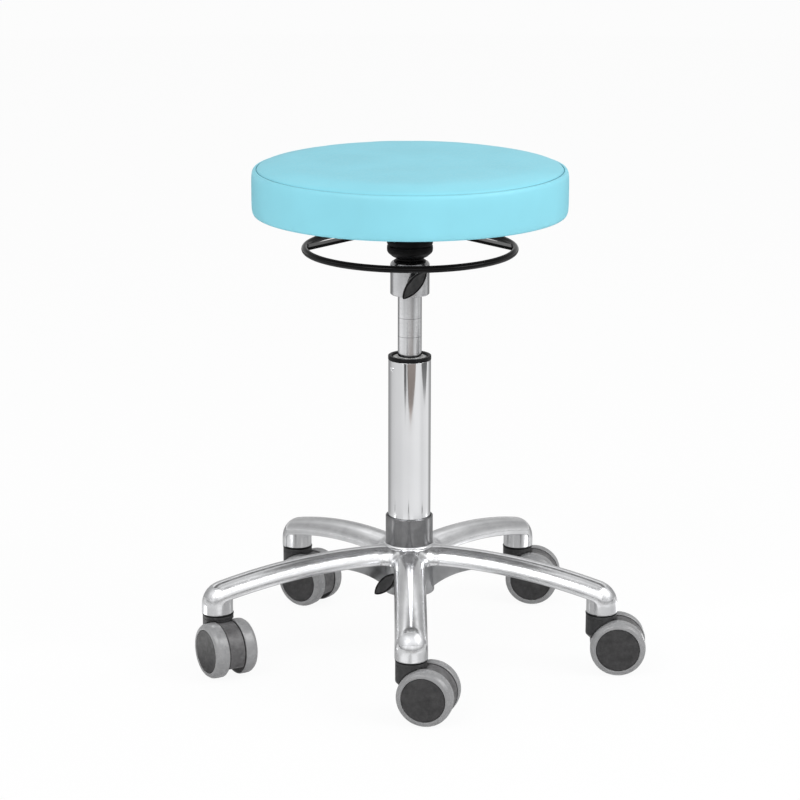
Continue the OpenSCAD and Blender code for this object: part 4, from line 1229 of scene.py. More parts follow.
class STOOL_OT_column(bpy.types.Operator):
    """Make the chromed column with its dark collar, black cap and guide bush"""
    bl_idname = "stool.column"
    bl_label = "Column"

    def execute(self, context):
        low, high, collar_low = LOW["column_tube"][2], HIGH["column_tube"][2], LOW["hub_collar"][2]
        r, bore_r = 25.0, 23.0
        turned_piece("column_chromed", "base", "chrome", "column_tube",
                     eased([(bore_r, low, 0.2), (r - 0.6, low, 0.4), (r, collar_low, 0), (r, high - 20, 0),
                            (r, high, 0.3), (bore_r, high, 0.3)], 3, closed=True))
        low, high = LOW["hub_collar"][2], HIGH["hub_collar"][2]
        r, bore_r = 28.0, 25.45
        turned_piece("hub_collar_moulded", "base", "hub_plastic", "hub_collar",
                     eased([(bore_r, low, 0), (r, low, 0.3), (r, high, 0.9), (r - 1.6, high, 0.6),
                            (bore_r, high - 1.2, 0.3)], 4, closed=True))
        low, high = LOW["column_cap"][2], HIGH["column_cap"][2]
        r, bore_r = 25.3, 20.6
        turned_piece("column_cap_moulded", "base", "black_plastic", "column_cap",
                     eased([(bore_r, low, 0), (r, low, 0.4), (r, high - 0.2, 1.1), (23.6, high, 0.8),
                            (21.2, high - 0.3, 0.5), (bore_r, high - 1.6, 0.3)], 4, closed=True))
        foot, top = LOW["guide_bush"][2], HIGH["guide_bush"][2]
        r, neck_r, bore_r = 22.9, 20.5, 14.08
        turned_piece("guide_bush_turned", "base", "bush_plastic", "guide_bush",
                     eased([(bore_r, foot, 0.3), (r, foot, 0.5), (r, low - 0.1, 0),
                            (neck_r, low + 0.05, 0), (neck_r, top - 0.6, 0.4), (18.0, top, 0.4),
                            (15.2, top, 0.5), (bore_r, top - 1.0, 0.3)], 3, closed=True))
        azimuth, height, depth = -56.0, 348.5, 24.9
        button = eased([(0.0, -1.2, 0), (3.0, -1.2, 0), (3.0, 0.55, 0.3), (2.45, 0.8, 0.25),
                        (1.5, 0.3, 0.8), (0.0, 0.2, 0)], 3)
        place = radial_frame(azimuth, height, depth)
        rides(made("column_pin", placed(turned(button, 40), place), "chrome"), "base", "steel")
        return {"FINISHED"}


# Gas spring, collar and lever housing

class STOOL_OT_spring(bpy.types.Operator):
    """Make the gas spring with its aluminium collar and the black boot of the lever"""
    bl_idname = "stool.spring"
    bl_label = "Gas spring"

    def execute(self, context):
        low, high = LOW["pressure_tube"][2], HIGH["pressure_tube"][2]
        foot, top = LOW["taper_collar"][2], HIGH["taper_collar"][2]
        r, bore_r, bore_top, valve_r, valve_low = 14.0, 12.5, foot - 31.0, 4.1, high - 29.0
        turned_piece("pressure_tube_ground", "seat_post", "spring_tube", "pressure_tube",
                     eased([(0.0, bore_top, 0), (bore_r, bore_top, 0), (bore_r, low, 0), (r, low, 0.6),
                            (r, foot, 0), (r - 1.0, high, 0.3), (valve_r, high, 0),
                            (valve_r, valve_low, 0), (0.0, valve_low, 0)], 3))
        r, recess_r = 22.8, 15.8
        turned_piece("collar_turned", "seat_post", "turned_aluminium", "taper_collar",
                     eased([(14.03, foot, 0.3), (r - 1.0, foot, 0.3), (r, foot + 1.0, 0.5),
                            (r, top - 2.4, 1.0), (21.0, top - 0.35, 1.0), (19.6, top, 0.4),
                            (recess_r, top, 0.2), (recess_r, high, 0), (13.03, high, 0)], 4, closed=True))
        crown = HIGH["lever_housing"][2]
        r = radius_of("lever_housing")
        pin_r, seat, face, roof = 4.8, high + 0.05, top + 0.05, top + 10.5
        boot = eased([(pin_r, seat, 0), (15.7, seat, 0), (15.7, face, 0), (18.6, face, 0.5),
                      (18.9, top + 1.0, 0.8), (16.2, top + 2.6, 2.2), (16.3, top + 4.6, 2.0),
                      (r - 6.0, top + 6.4, 3.0), (r - 0.3, top + 11.4, 5.2), (r, top + 15.4, 2.5),
                      (r - 0.2, top + 18.6, 0.8), (r - 1.3, top + 19.6, 0.5), (r - 1.3, top + 20.2, 0.4),
                      (r - 0.15, top + 21.2, 0.8), (r, top + 24.0, 2.0), (r - 0.3, crown, 0.9),
                      (15.75, crown, 0.4), (15.75, roof, 0.4), (pin_r, roof, 0)], 5, closed=True)
        turned_piece("lever_boot", "seat_post", "black_rubber", "lever_housing", boot, angle=42.0)
        refined("seat_plate", "seat_post", 0.4)
        refined("plate_screws", "seat_post", 0.3)
        refined("release_pin", "release", 0.2)
        return {"FINISHED"}


# Ring lever

def swept_bar(path, width, thickness, ease):
    """Flat bar along a path in the X-Z plane, with eased edges."""
    points = [np.array(p, float) for p in path]
    half_w, half_t = width / 2, thickness / 2
    outline = eased([(-half_w, -half_t, ease), (half_w, -half_t, ease), (half_w, half_t, ease),
                     (-half_w, half_t, ease)], 4, closed=True)
    sections = []
    for i, p in enumerate(points):
        before, after = points[max(i - 1, 0)], points[min(i + 1, len(points) - 1)]
        along = (after - before) / np.linalg.norm(after - before)
        up = np.array((-along[1], along[0]))
        sections.append([(p[0] + up[0] * h, w, p[1] + up[1] * h) for w, h in outline])
    return lofted(sections)


class STOOL_OT_lever(bpy.types.Operator):
    """Make the ring lever with its flat cross-bar, welds and disc"""
    bl_idname = "stool.lever"
    bl_label = "Ring lever"

    def execute(self, context):
        low, high = LOW["ring_lever"], HIGH["ring_lever"]
        rod_r, bar_t, bar_w, bend_ease = 4.0, 3.5, 20.0, 9.0
        ring_r = high[0] - rod_r
        ring_z = low[2] + rod_r
        bar_z = high[2] - bar_t / 2
        bend_r = radius_of("lever_disc")
        section = [(ring_r + rod_r * math.cos(TAU * k / 28), ring_z + rod_r * math.sin(TAU * k / 28))
                   for k in range(28)]
        path = eased([(-ring_r, ring_z, 0), (-bend_r, bar_z, bend_ease), (bend_r, bar_z, bend_ease),
                      (ring_r, ring_z, 0)], 8)
        bar = swept_bar(path, bar_w, bar_t, 0.7)
        obj = combined("ring_lever_enamelled", turned(section, 288), [("UNION", bar)])
        painted(obj.data, "black_steel")
        shade(obj.data, 40.0)
        rides(obj, "lever", "black_steel", "ring_lever")
        slope = (bar_z - ring_z) / (ring_r - bend_r)
        weld_inset, weld_lift, steps = 3.4, bar_t / 2 + 0.15, 12
        welds = []
        for side in (-1, 1):
            for up in (1, -1):
                x = side * (ring_r - weld_inset)
                z = ring_z + weld_inset * slope + up * weld_lift
                edge = [(x, -bar_w / 2 + bar_w * k / steps, z) for k in range(steps + 1)]
                welds.append((edge, [(k, k + 1) for k in range(steps)]))
        beads = grown("lever_welds", joined(*welds), along_path_tree(), {
            "Count": 12, "Length": 0.0030, "Width": 0.0026, "Thickness": 0.0020, "Wander": 0.25,
            "Seed": 3, "Material": finish("black_steel")})
        rides(beads, "lever", "black_steel")
        refined("lever_disc", "lever", 0.5)
        return {"FINISHED"}


# Wing screws, with their sizes in millimetres

WING_LENGTH = 45.5
WING_WIDTH = 15.8
WING_TOP = 14.0
WING_FOOT_R = 7.0
# Rows of the grip: (narrowing of the foot, height, share of the oval, inset of the oval)
WING_ROWS = ((0.7, 0.0, 0.0, 0.0), (0.15, 0.25, 0.0, 0.0), (0.0, 0.9, 0.0, 0.0), (0.0, 3.2, 0.02, 0.0),
             (0.0, 5.2, 0.09, 0.0), (0.0, 6.8, 0.25, 0.0), (0.0, 7.9, 0.50, 0.0), (0.0, 8.6, 0.76, 0.0),
             (0.0, 9.3, 0.93, 0.0), (0.0, 10.2, 1.0, 0.0), (0.0, 11.8, 1.0, 0.0), (0.0, 13.0, 1.0, 0.05),
             (0.0, 13.7, 1.0, 0.35), (0.0, WING_TOP, 1.0, 0.85), (0.0, WING_TOP, 1.0, 1.35),
             (0.0, WING_TOP - 0.25, 1.0, 1.75), (0.0, WING_TOP - 0.7, 1.0, 2.2),
             (0.0, WING_TOP - 1.0, 1.0, 3.2))
# Rows of the hollow face: (share of the last row, depth below the top)
WING_FACE_ROWS = ((0.7, 1.12), (0.4, 1.25), (0.15, 1.32))
WING_FACE_DEPTH = 1.34
# Both screws: (name, azimuth and height, distances of its tip and of its grip's foot from the axis, turn
# of the grip)
SCREWS = (("upper", 8.0, 454.1, 16.6, 24.8, 50.0),
          ("lower", LOWER_SCREW_AZIMUTH, LOWER_SCREW_Z, 27.8, 36.0, 45.0))


def wing_edge(angle):
    """Distance of the edge of the grip, a pointed oval with rounded tips, from its middle."""
    half_width, tip, sharpness = WING_WIDTH / 2, WING_LENGTH / 2 - 0.6, 12.0
    bow = ((WING_LENGTH / 2) ** 2 + half_width ** 2) / WING_WIDTH
    shift = bow - half_width
    s = abs(math.sin(angle))
    edge = -shift * s + math.sqrt(shift * shift * (s * s - 1) + bow * bow)
    return (edge ** -sharpness + tip ** -sharpness) ** (-1 / sharpness)


def wing_shape():
    """Grip with a round foot, that widens to a pointed oval with a hollowed face."""
    count = 96
    angles = [math.atan2(WING_WIDTH * math.sin(u), WING_LENGTH * math.cos(u))
              for u in (TAU * k / count for k in range(count))]
    edges = [wing_edge(angle) for angle in angles]
    rows = []
    for narrowing, z, share, inset in WING_ROWS:
        rows.append(([(WING_FOOT_R - narrowing) * (1 - share) + edge * share
                      - inset * min(1.0, 0.5 + 0.5 * WING_WIDTH / edge) for edge in edges], z))
    last_inset = WING_ROWS[-1][3]
    for share, depth in WING_FACE_ROWS:
        rows.append(([(edge - last_inset) * share for edge in edges], WING_TOP - depth))
    verts, faces = [(0.0, 0.0, 0.0)], []
    for radii, z in rows:
        verts += [(r * math.cos(a), r * math.sin(a), z) for r, a in zip(radii, angles)]
    verts.append((0.0, 0.0, WING_TOP - WING_FACE_DEPTH))
    last = 1 + (len(rows) - 1) * count
    for k in range(count):
        n = (k + 1) % count
        faces.append((0, 1 + n, 1 + k))
        for a in range(1, last, count):
            faces.append((a + k, a + n, a + count + n, a + count + k))
        faces.append((last + k, last + n, len(verts) - 1))
    return verts, faces


class STOOL_OT_screws(bpy.types.Operator):
    """Make the two clamping screws with their oval wing grips"""
    bl_idname = "stool.screws"
    bl_label = "Wing screws"

    def execute(self, context):
        r, core_r = 3.95, 3.4
        for name, azimuth, height, tip, foot, turn in SCREWS:
            place = radial_frame(azimuth, height)
            grip = placed(wing_shape(), Matrix.Translation((0.0, 0.0, foot))
                          @ Matrix.Rotation(math.radians(90.0 + turn), 4, "Z"))
            shank = turned(eased([(0.0, tip, 0), (core_r, tip, 0.4), (core_r, tip + 0.6, 0),
                                  (r, tip + 1.2, 0), (r, foot + 1.0, 0), (0.0, foot + 1.0, 0)], 3), 48)
            obj = combined(f"{name}_wing_screw_moulded", placed(grip, place),
                           [("UNION", placed(shank, place))])
            painted(obj.data, "black_plastic", "wing_face_painted_sheen")
            outwards = place.to_3x3() @ Vector((0.0, 0.0, 1.0))
            middle = place @ Vector((0.0, 0.0, foot))
            # The hollow face takes a dark grey that is lighter than the black rim: painted sheen of the
            # light that the concave face reflects.
            for face in obj.data.polygons:
                reach = (face.center / MM - middle).dot(outwards)
                hollow = 12.2 < reach < 13.35 and face.normal.dot(outwards) > 0.9
                face.material_index = 1 if hollow else 0
            shade(obj.data, 42.0)
            rides(obj, f"{name}_screw", "black_plastic", f"{name}_wing_screw")
            refined(f"{name}_pressure_pad", f"{name}_pad", 0.2)
        return {"FINISHED"}


# Seat, with its sizes in millimetres

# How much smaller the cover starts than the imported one, so that it can swell, and the shares of this
# that its seam and its bulge give up
SWELL_ROOM = 0.7
SEAM_SHARE, BULGE_SHARE = 0.4, 0.6
# Distances of the cover's rings from the seam: over the top panel, and down the side
PANEL_STEPS = (0.5, 1.0, 1.6, 2.4, 3.2, 3.6, 4.0, 4.4, 5.0, 6.4, 8.2, 11, 15, 20, 27, 36, 47, 60, 75, 92,
               110, 130, 148, 162, 172)
SIDE_STEPS = (0.5, 1.0, 1.6, 2.4, 3.4, 4.6, 6.0, 8.0, 11, 15, 19, 23, 27, 31, 35, 39, 43, 46.5, 49.5,
              52, 54)
# Radii of the flap that is stapled under the board
FLAP_OUTER_R, STAPLE_R, FLAP_R = 173.0, 166.5, 161.0
FLAP_RADII = (FLAP_OUTER_R, 171.0, 169.0, STAPLE_R, 163.5, FLAP_R)
# Room round the board and over the flap
BOARD_GAP, FLAP_GAP = 0.1, 0.05
# Relief of the cover as (depth or height, reach), and its distance from the seam: the groove of the seam,
# the swell beside it, the puckers, the line of the seam allowance, the upright seam at the back and the
# pleats of the flap
SEAM_GROOVE = (0.32, 0.7)
SEAM_SWELL = (0.22, 1.2)
SEAM_SWELL_PLACE = 2.8
PUCKERS = (0.07, 6.0)
ALLOWANCE_LINE = (0.12, 0.6)
ALLOWANCE_PLACE = 4.0
BACK_SEAM = (0.65, 0.8)
FLAP_PLEATS = (0.35, 14.0)
STITCH_LIFT = 0.36


class SeatForm:
    """Outline of the upholstered seat, in millimetres: its top panel and its side, from the seam."""

    def __init__(self, seat):
        self.top = HIGH["seat_cover"][2]
        self.low = LOW["seat_cover"][2]
        self.seam_r = (seat.radius - seat.seam_inset) / MM - SWELL_ROOM * SEAM_SHARE
        self.seam_z = self.top - seat.seam_drop / MM - SWELL_ROOM * SEAM_SHARE
        self.crown = seat.crown / MM - SWELL_ROOM * BULGE_SHARE
        self.reach = seat.seam_inset / MM - SWELL_ROOM * BULGE_SHARE
        panel = []
        steps, flatness, roundness = 2000, 12, 2.4
        for i in range(steps + 1):
            t = math.sin(math.pi / 2 * i / steps)
            rise = self.crown * (1 - t ** flatness) ** (1 / roundness)
            panel.append((self.seam_r * t, self.seam_z + rise))
        side = []
        steps, squareness = 1000, 5
        middle, half = (self.seam_z + self.low) / 2, (self.seam_z - self.low) / 2
        for i in range(steps + 1):
            u = math.cos(math.pi * i / steps)
            bulge = max(0.0, 1 - abs(u) ** squareness) ** (1 / squareness)
            side.append((self.seam_r + self.reach * bulge, middle + half * u))
        self.panel = np.array(panel[::-1])
        self.side = np.array(side)

    @staticmethod
    def along(points, distances):
        """Points at given distances from the start of a line, and the length of the line."""
        steps = np.concatenate([[0.0], np.cumsum(np.linalg.norm(np.diff(points, axis=0), axis=1))])
        return np.stack([np.interp(distances, steps, points[:, i]) for i in (0, 1)], 1), steps[-1]


def seat_rings(form):
    """Rings of the cover from the middle of the top to the edge under the board: (r, z, distance), where
    the distance counts from the seam, downwards."""
    panel, _ = form.along(form.panel, np.array((0.0,) + PANEL_STEPS))
    side, length = form.along(form.side, np.array(SIDE_STEPS))
    rings = [(p[0], p[1], -s) for p, s in zip(panel, (0.0,) + PANEL_STEPS)][::-1]
    rings += [(p[0], p[1], s) for p, s in zip(side, SIDE_STEPS) if s < length - 1.5]
    rings.append((form.seam_r - 0.4, form.low + 0.25, length + 2.0))
    for i, r in enumerate((form.seam_r - 2.0, *FLAP_RADII)):
        rings.append((r, form.low, length + 3.0 + i))
    return rings


def even_angles(count):
    return [TAU * k / count for k in range(count)]


def seam_angles(count):
    """Directions round the seat, closer together at the upright seam at the back."""
    back = math.pi / 2
    fine = [back + s * d for s in (-1, 1) for d in (0.0015, 0.0032, 0.0052, 0.0078, 0.0118)]
    keep = [a for a in even_angles(count) if abs(a - back) > 0.014 or abs(a - back) < 1e-6]
    return sorted(keep + fine)


def polar_shell(profile, angles, top, under):
    """Closed shell from rings, each (radius, height), with a point on the axis above and below. A ring's
    radius or height may be an array with a value for each angle."""
    turn = np.array(angles)
    count = len(angles)
    verts = [(0.0, 0.0, top)]
    for r, z in profile:
        ring = np.stack([r * np.cos(turn), r * np.sin(turn), z + 0.0 * turn], 1)
        verts += [tuple(p) for p in ring.tolist()]
    verts.append((0.0, 0.0, under))
    faces = []
    last = len(verts) - 1
    for k in range(count):
        n = (k + 1) % count
        faces.append((0, 1 + k, 1 + n))
        for j in range(len(profile) - 1):
            a, b = 1 + j * count, 1 + (j + 1) * count
            faces.append((a + k, b + k, b + n, a + n))
        faces.append((last, last - count + n, last - count + k))
    return verts, faces


def swollen(obj, held, pressure, most):
    """Cloth under pressure: the cover swells out between what holds it. Returns how far each point moves,
    in metres, with a soft limit."""
    group = obj.vertex_groups.new(name="held")
    group.add(held, 1.0, "REPLACE")
    scene = bpy.context.scene
    cloth = obj.modifiers.new("swell", "CLOTH")
    settings = cloth.settings
    settings.quality = 5
    settings.mass = 0.3
    settings.tension_stiffness = 18
    settings.compression_stiffness = 18
    settings.shear_stiffness = 6
    settings.bending_stiffness = 4
    settings.use_pressure = True
    settings.uniform_pressure_force = pressure
    settings.vertex_group_mass = "held"
    settings.effector_weights.gravity = 0.0
    cloth.collision_settings.use_collision = False
    cloth.collision_settings.use_self_collision = False
    cloth.point_cache.frame_start = 1
    cloth.point_cache.frame_end = 20
    count = len(obj.data.vertices)
    rest = np.empty(count * 3)
    obj.data.vertices.foreach_get("co", rest)
    for step in range(1, 21):
        scene.frame_set(step)
    graph = bpy.context.evaluated_depsgraph_get()
    after = np.empty(count * 3)
    obj.evaluated_get(graph).data.vertices.foreach_get("co", after)
    scene.frame_set(1)
    move = (after - rest).reshape(-1, 3)
    size = np.linalg.norm(move, axis=1, keepdims=True)
    if not np.isfinite(size).all():
        raise RuntimeError("the swelling of the cover didn't settle")
    return move * most * np.tanh(size / most) / np.maximum(size, 1e-9)


class STOOL_OT_seat(bpy.types.Operator):
    """Make the padded seat: swollen cover, seams, stitches, staples and board"""
    bl_idname = "stool.seat"
    bl_label = "Padded seat"

    def execute(self, context):
        seat = context.scene.stool_seat
        form = SeatForm(seat)
        rings = seat_rings(form)
        board_r = radius_of("seat_board")
        flap_top, under = LOW["seat_board"][2] - FLAP_GAP, HIGH["seat_board"][2] + BOARD_GAP
        inner = [(FLAP_R, flap_top), (board_r + BOARD_GAP, flap_top), (board_r + BOARD_GAP, under),
                 (board_r * 0.6, under)]
        top = form.seam_z + form.crown
        angles = seam_angles(576)
        lift = np.zeros(3)
        swell = np.zeros((len(rings), len(angles), 2))
        lift, swell = self.swell(seat, rings, inner, top, under, angles)
        profile = self.sew(rings, angles, swell) + inner
        obj = made("cushion", polar_shell(profile, angles, top + lift[2], under), "turquoise_vinyl",
                   merge=COVER_MERGE, angle=70.0)
        rides(obj, "seat_post", "turquoise_vinyl", "seat_cover", "seat_foam")
        self.stitch(seat, profile[self.seam_index(rings)], angles)
        self.staple(seat)
        refined("seat_board", "seat_post", 0.5)
        return {"FINISHED"}

    @staticmethod
    def seam_index(rings):
        return next(i for i, ring in enumerate(rings) if ring[2] == 0.0)

    def swell(self, seat, rings, inner, top, under, angles):
        """Runs the cloth on a coarser copy of the cover, held at its seam and under the board. Returns
        how far the middle of the top moves and, for each ring and angle, how far outwards and upwards."""
        coarse = even_angles(144)
        count = len(coarse)
        profile = [(r, z) for r, z, s in rings] + inner
        obj = made("cover_swell", polar_shell(profile, coarse, top, under), merge=COVER_MERGE)
        seam = self.seam_index(rings)
        held_below = LOW["seat_cover"][2] + 3.5
        edge = next(i for i, (r, z, s) in enumerate(rings) if s > 0 and z < held_below)
        held = list(range(1 + seam * count, 1 + (seam + 1) * count))
        held += list(range(1 + edge * count, len(obj.data.vertices)))
        move = swollen(obj, held, seat.pressure, seat.swell) / MM
        discarded(obj)
        turn = np.array(coarse)
        steps = move[1:1 + len(rings) * count].reshape(len(rings), count, 3)
        out = steps[..., 0] * np.cos(turn) + steps[..., 1] * np.sin(turn)
        up = steps[..., 2]
        swell = np.zeros((len(rings), len(angles), 2))
        reach = 5
        for axis, values in enumerate((out, up)):
            smooth = sum(np.roll(values, k, axis=1) for k in range(-reach, reach + 1)) / (2 * reach + 1)
            for j in range(len(rings)):
                swell[j, :, axis] = np.interp(angles, turn, smooth[j], period=TAU)
        return move[0], swell

    @staticmethod
    def sew(rings, angles, swell):
        """Rings of the finished cover: swollen, with its seams drawn in and soft puckers beside them and
        in the edge under the board."""
        turn = np.array(angles)
        across = np.array([(r, z) for r, z, s in rings])
        waves = (np.sin(37 * turn + 1.3) + np.sin(53 * turn + 0.4) + np.sin(71 * turn + 2.1)) / 3
        pleats = 0.5 + 0.5 * np.sin(64 * turn + 1.5 * np.sin(9 * turn))
        from_back = np.abs((turn - math.pi / 2 + math.pi) % TAU - math.pi) * across[:, 0].max()
        out = []
        for j, (r, z, s) in enumerate(rings):
            before, after = across[max(j - 1, 0)], across[min(j + 1, len(rings) - 1)]
            along = (after - before) / max(np.linalg.norm(after - before), 1e-9)
            outwards = (-along[1], along[0])
            move = np.zeros(len(angles))
            if abs(s) < 30:
                move -= SEAM_GROOVE[0] * math.exp(-(s / SEAM_GROOVE[1]) ** 2)
                move += SEAM_SWELL[0] * math.exp(-((abs(s) - SEAM_SWELL_PLACE) / SEAM_SWELL[1]) ** 2)
                move += PUCKERS[0] * waves * math.exp(-(s / PUCKERS[1]) ** 2)
                move -= ALLOWANCE_LINE[0] * math.exp(-((s + ALLOWANCE_PLACE) / ALLOWANCE_LINE[1]) ** 2)
            if 0 < s < 56:
                move -= BACK_SEAM[0] * np.exp(-(from_back / BACK_SEAM[1]) ** 2) * min(1.0, s / 1.5)
            if z < LOW["seat_cover"][2] + 0.5 and r < FLAP_OUTER_R:
                move = -FLAP_PLEATS[0] * min(1.0, (FLAP_OUTER_R - r) / FLAP_PLEATS[1]) * pleats
            out.append((r + swell[j, :, 0] + outwards[0] * move, z + swell[j, :, 1] + outwards[1] * move))
        return out

    @staticmethod
    def stitch(seat, ring, angles):
        """Stitches along the seam, as short thread beads that sit in its groove."""
        count = len(angles)
        path = [((r + STITCH_LIFT) * math.cos(a), (r + STITCH_LIFT) * math.sin(a), z + STITCH_LIFT)
                for r, z, a in zip(ring[0], ring[1], angles)]
        links = [(k, (k + 1) % count) for k in range(count)]
        # The dark thread stands partly for the shade in the stitch holes: painted shade.
        stitches = grown("seam_stitches", (path, links), along_path_tree(), {
            "Count": round(TAU * seat.radius / seat.stitch_pitch), "Length": 0.0013, "Width": 0.0008,
            "Thickness": 0.0008, "Wander": 0.06, "Seed": 11, "Material": finish("thread")})
        rides(stitches, "seat_post", "turquoise_vinyl")

    @staticmethod
    def staple(seat):
        """Staples that hold the edge of the cover under the board."""
        count, lift = 256, 0.15
        path = [(STAPLE_R * math.cos(a), STAPLE_R * math.sin(a), LOW["seat_cover"][2] - lift)
                for a in even_angles(count)]
        links = [(k, (k + 1) % count) for k in range(count)]
        staples = grown("cover_staples", (path, links), along_path_tree(), {
            "Count": seat.staple_count, "Length": 0.010, "Width": 0.0011, "Thickness": 0.0007,
            "Wander": 0.22, "Seed": 5, "Material": finish("steel")})
        rides(staples, "seat_post", "steel")


# Inner parts

class STOOL_OT_inner(bpy.types.Operator):
    """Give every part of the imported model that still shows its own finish"""
    bl_idname = "stool.inner"
    bl_label = "Inner parts"

    def execute(self, context):
        for node, obj in frame["nodes"].items():
            material = finish(SLOTS[node])
            if not obj.data.materials:
                obj.data.materials.append(material)
            for place in obj.material_slots:
                place.link = "OBJECT"
                place.material = material
        return {"FINISHED"}


# Stage, with its sizes in metres
# What bright metal shows of the room. Rows of (rise in degrees, tone in front, beside and behind)
ROOM_TONES = (
    (0, 0.22, 0.2, 0.62), (4, 0.26, 0.25, 0.58), (7, 0.45, 0.45, 0.5), (11, 0.74, 0.7, 0.44),
    (15, 0.9, 0.95, 0.4), (20, 0.96, 1.1, 0.45), (26, 1.0, 1.2, 0.5), (28, 1.6, 1.3, 0.52),
    (30, 1.6, 1.3, 0.6), (32, 1.0, 1.2, 0.85), (40, 1.0, 1.1, 0.9), (45, 1.0, 1.0, 0.35),
    (46, 6.0, 3.5, 0.25), (49, 6.0, 3.5, 0.18), (50, 1.0, 0.85, 0.14), (57, 0.95, 0.7, 0.12),
    (63, 0.42, 0.4, 0.4), (69, 0.42, 0.4, 0.9), (76, 0.85, 0.55, 0.5), (90, 0.9, 0.9, 0.9),
)
# Floor under the stool, round the hub: rows of (azimuth in degrees from the front, tone)
HUB_TONES = (
    (-180, 0.4), (-125, 0.6), (-94, 0.8), (-89, 2.3), (-80, 2.3), (-75, 0.6), (-38, 0.66),
    (-32, 0.98), (-12, 0.98), (-7, 0.6), (-1, 0.6), (3, 0.98), (16, 0.98), (26, 0.66),
    (80, 0.6), (98, 0.8), (102, 2.3), (110, 2.3), (115, 0.7), (145, 0.6), (180, 0.4),
)
# Floor farther out: rows of (azimuth in degrees from the front, tone near the stool, tone far away)
FLOOR_TONES = (
    (-180, 0.3, 0.25), (-150, 0.3, 0.25), (-125, 0.42, 0.32), (-110, 0.6, 0.95), (-80, 0.69, 0.95),
    (-50, 0.72, 0.74), (-30, 0.78, 0.86), (0, 0.8, 0.76), (30, 0.86, 0.4), (50, 0.86, 0.62),
    (70, 0.74, 0.95), (90, 0.8, 0.64), (116, 0.84, 0.7), (128, 0.45, 0.32), (150, 0.3, 0.25),
    (180, 0.3, 0.25),
)
# Distances in metres: where the floor's surface has points, and where its tones change
FLOOR_DISTANCES = (0.02, 0.28, 0.34, 0.555, 0.57, 1.0, 1.50, 1.65, 2.0, 2.25, 2.4, 6.0)
FLOOR_CHANGES = (0.28, 0.34, 0.555, 0.57, 1.50, 1.65, 2.25, 2.4)
# Dark wedges on the floor: rows of (first azimuth, last azimuth, distance in metres, tone)
FLOOR_WEDGES = (
    ("wedge middle", ((2, 6, 1.09, 0.6), (-6, 20, 1.20, 0.24), (-12, 31, 1.38, 0.29),
                      (-15, 35, 1.55, 0.32), (-16, 36, 1.75, 0.33))),
    ("wedge edge", ((-8, -6, 1.18, 0.30), (-13, -9, 1.40, 0.14), (-16, -11, 1.75, 0.12))),
    ("wedge left", ((-24, -22, 1.12, 0.75), (-30, -17, 1.28, 0.20), (-31, -18, 1.60, 0.07),
                    (-31, -18, 1.75, 0.07))),
    ("wedge right", ((86, 90, 1.16, 0.8), (76, 99, 1.30, 0.28), (66, 107, 1.45, 0.14),
                     (61, 112, 1.75, 0.11))),
    ("spike left", ((-88, -81, 0.572, 0.12), (-87, -82, 0.595, 0.2), (-84.9, -84.3, 0.625, 0.7))),
    ("spike middle", ((-8, -1, 0.572, 0.10), (-7, -2, 0.60, 0.2), (-4.9, -4.3, 0.635, 0.7))),
    ("spike right", ((69, 77, 0.572, 0.12), (70, 76, 0.595, 0.2), (72.7, 73.3, 0.625, 0.7))),
)
# Grey disc below the seat, that keeps the seat's colour off the arms
SHADE_Z, SHADE_TONE, SHADE_RINGS = 0.530, 0.24, (0.03, 0.10, 0.16, 0.187)
WEDGE_Z = 0.006


def room_tone(azimuth, rise):
    """Tone of the room at a direction, in degrees. The front, the sides and the back run into each
    other."""
    away = abs((azimuth + 180) % 360 - 180)
    rises, *directions = zip(*ROOM_TONES)
    front, side, back = (np.interp(rise, rises, tones) for tones in directions)
    turn = math.radians(azimuth)
    waves = 1 + 0.12 * math.sin(7 * turn + math.radians(40)) + 0.08 * math.sin(17 * turn)
    tone = np.interp(away, (0, 50, 68, 92, 106, 180), (front, front, side, side, back, back))
    return waves * float(tone)


def floor_tone(azimuth, distance):
    """Tone of the floor at an azimuth in degrees and a distance in metres."""
    azimuth = (azimuth + 180) % 360 - 180
    hub = float(np.interp(azimuth, *zip(*HUB_TONES)))
    azimuths, *reaches = zip(*FLOOR_TONES)
    near, far = (float(np.interp(azimuth, azimuths, tones)) for tones in reaches)
    middle, last = 0.42, 0.3 * far
    return float(np.interp(distance, FLOOR_CHANGES, (middle, hub, hub, near, near, far, far, last)))


def dome_point(azimuth, rise, distance=6.0):
    """Place on a dome: azimuth in degrees from the front towards the right, rise in degrees."""
    a, e = math.radians(azimuth), math.radians(rise)
    return (distance * math.cos(e) * math.sin(a), -distance * math.cos(e) * math.cos(a),
            0.2 + distance * math.sin(e))


def floor_point(azimuth, distance, height=0.003):
    a = math.radians(azimuth)
    return (distance * math.sin(a), -distance * math.cos(a), height)


def room_finish(name, color):
    """Light of the tone that each point carries."""
    material = bpy.data.materials.new(name)
    material.use_nodes = True
    tree = material.node_tree
    glow = tree.nodes.new("ShaderNodeEmission")
    tone = tree.nodes.new("ShaderNodeAttribute")
    tone.attribute_name = "tone"
    glow.inputs["Color"].default_value = (*color, 1.0)
    tree.links.new(tone.outputs["Fac"], glow.inputs["Strength"])
    output = node_of(tree, "OUTPUT_MATERIAL")
    tree.links.new(glow.outputs[0], output.inputs["Surface"])
    return material


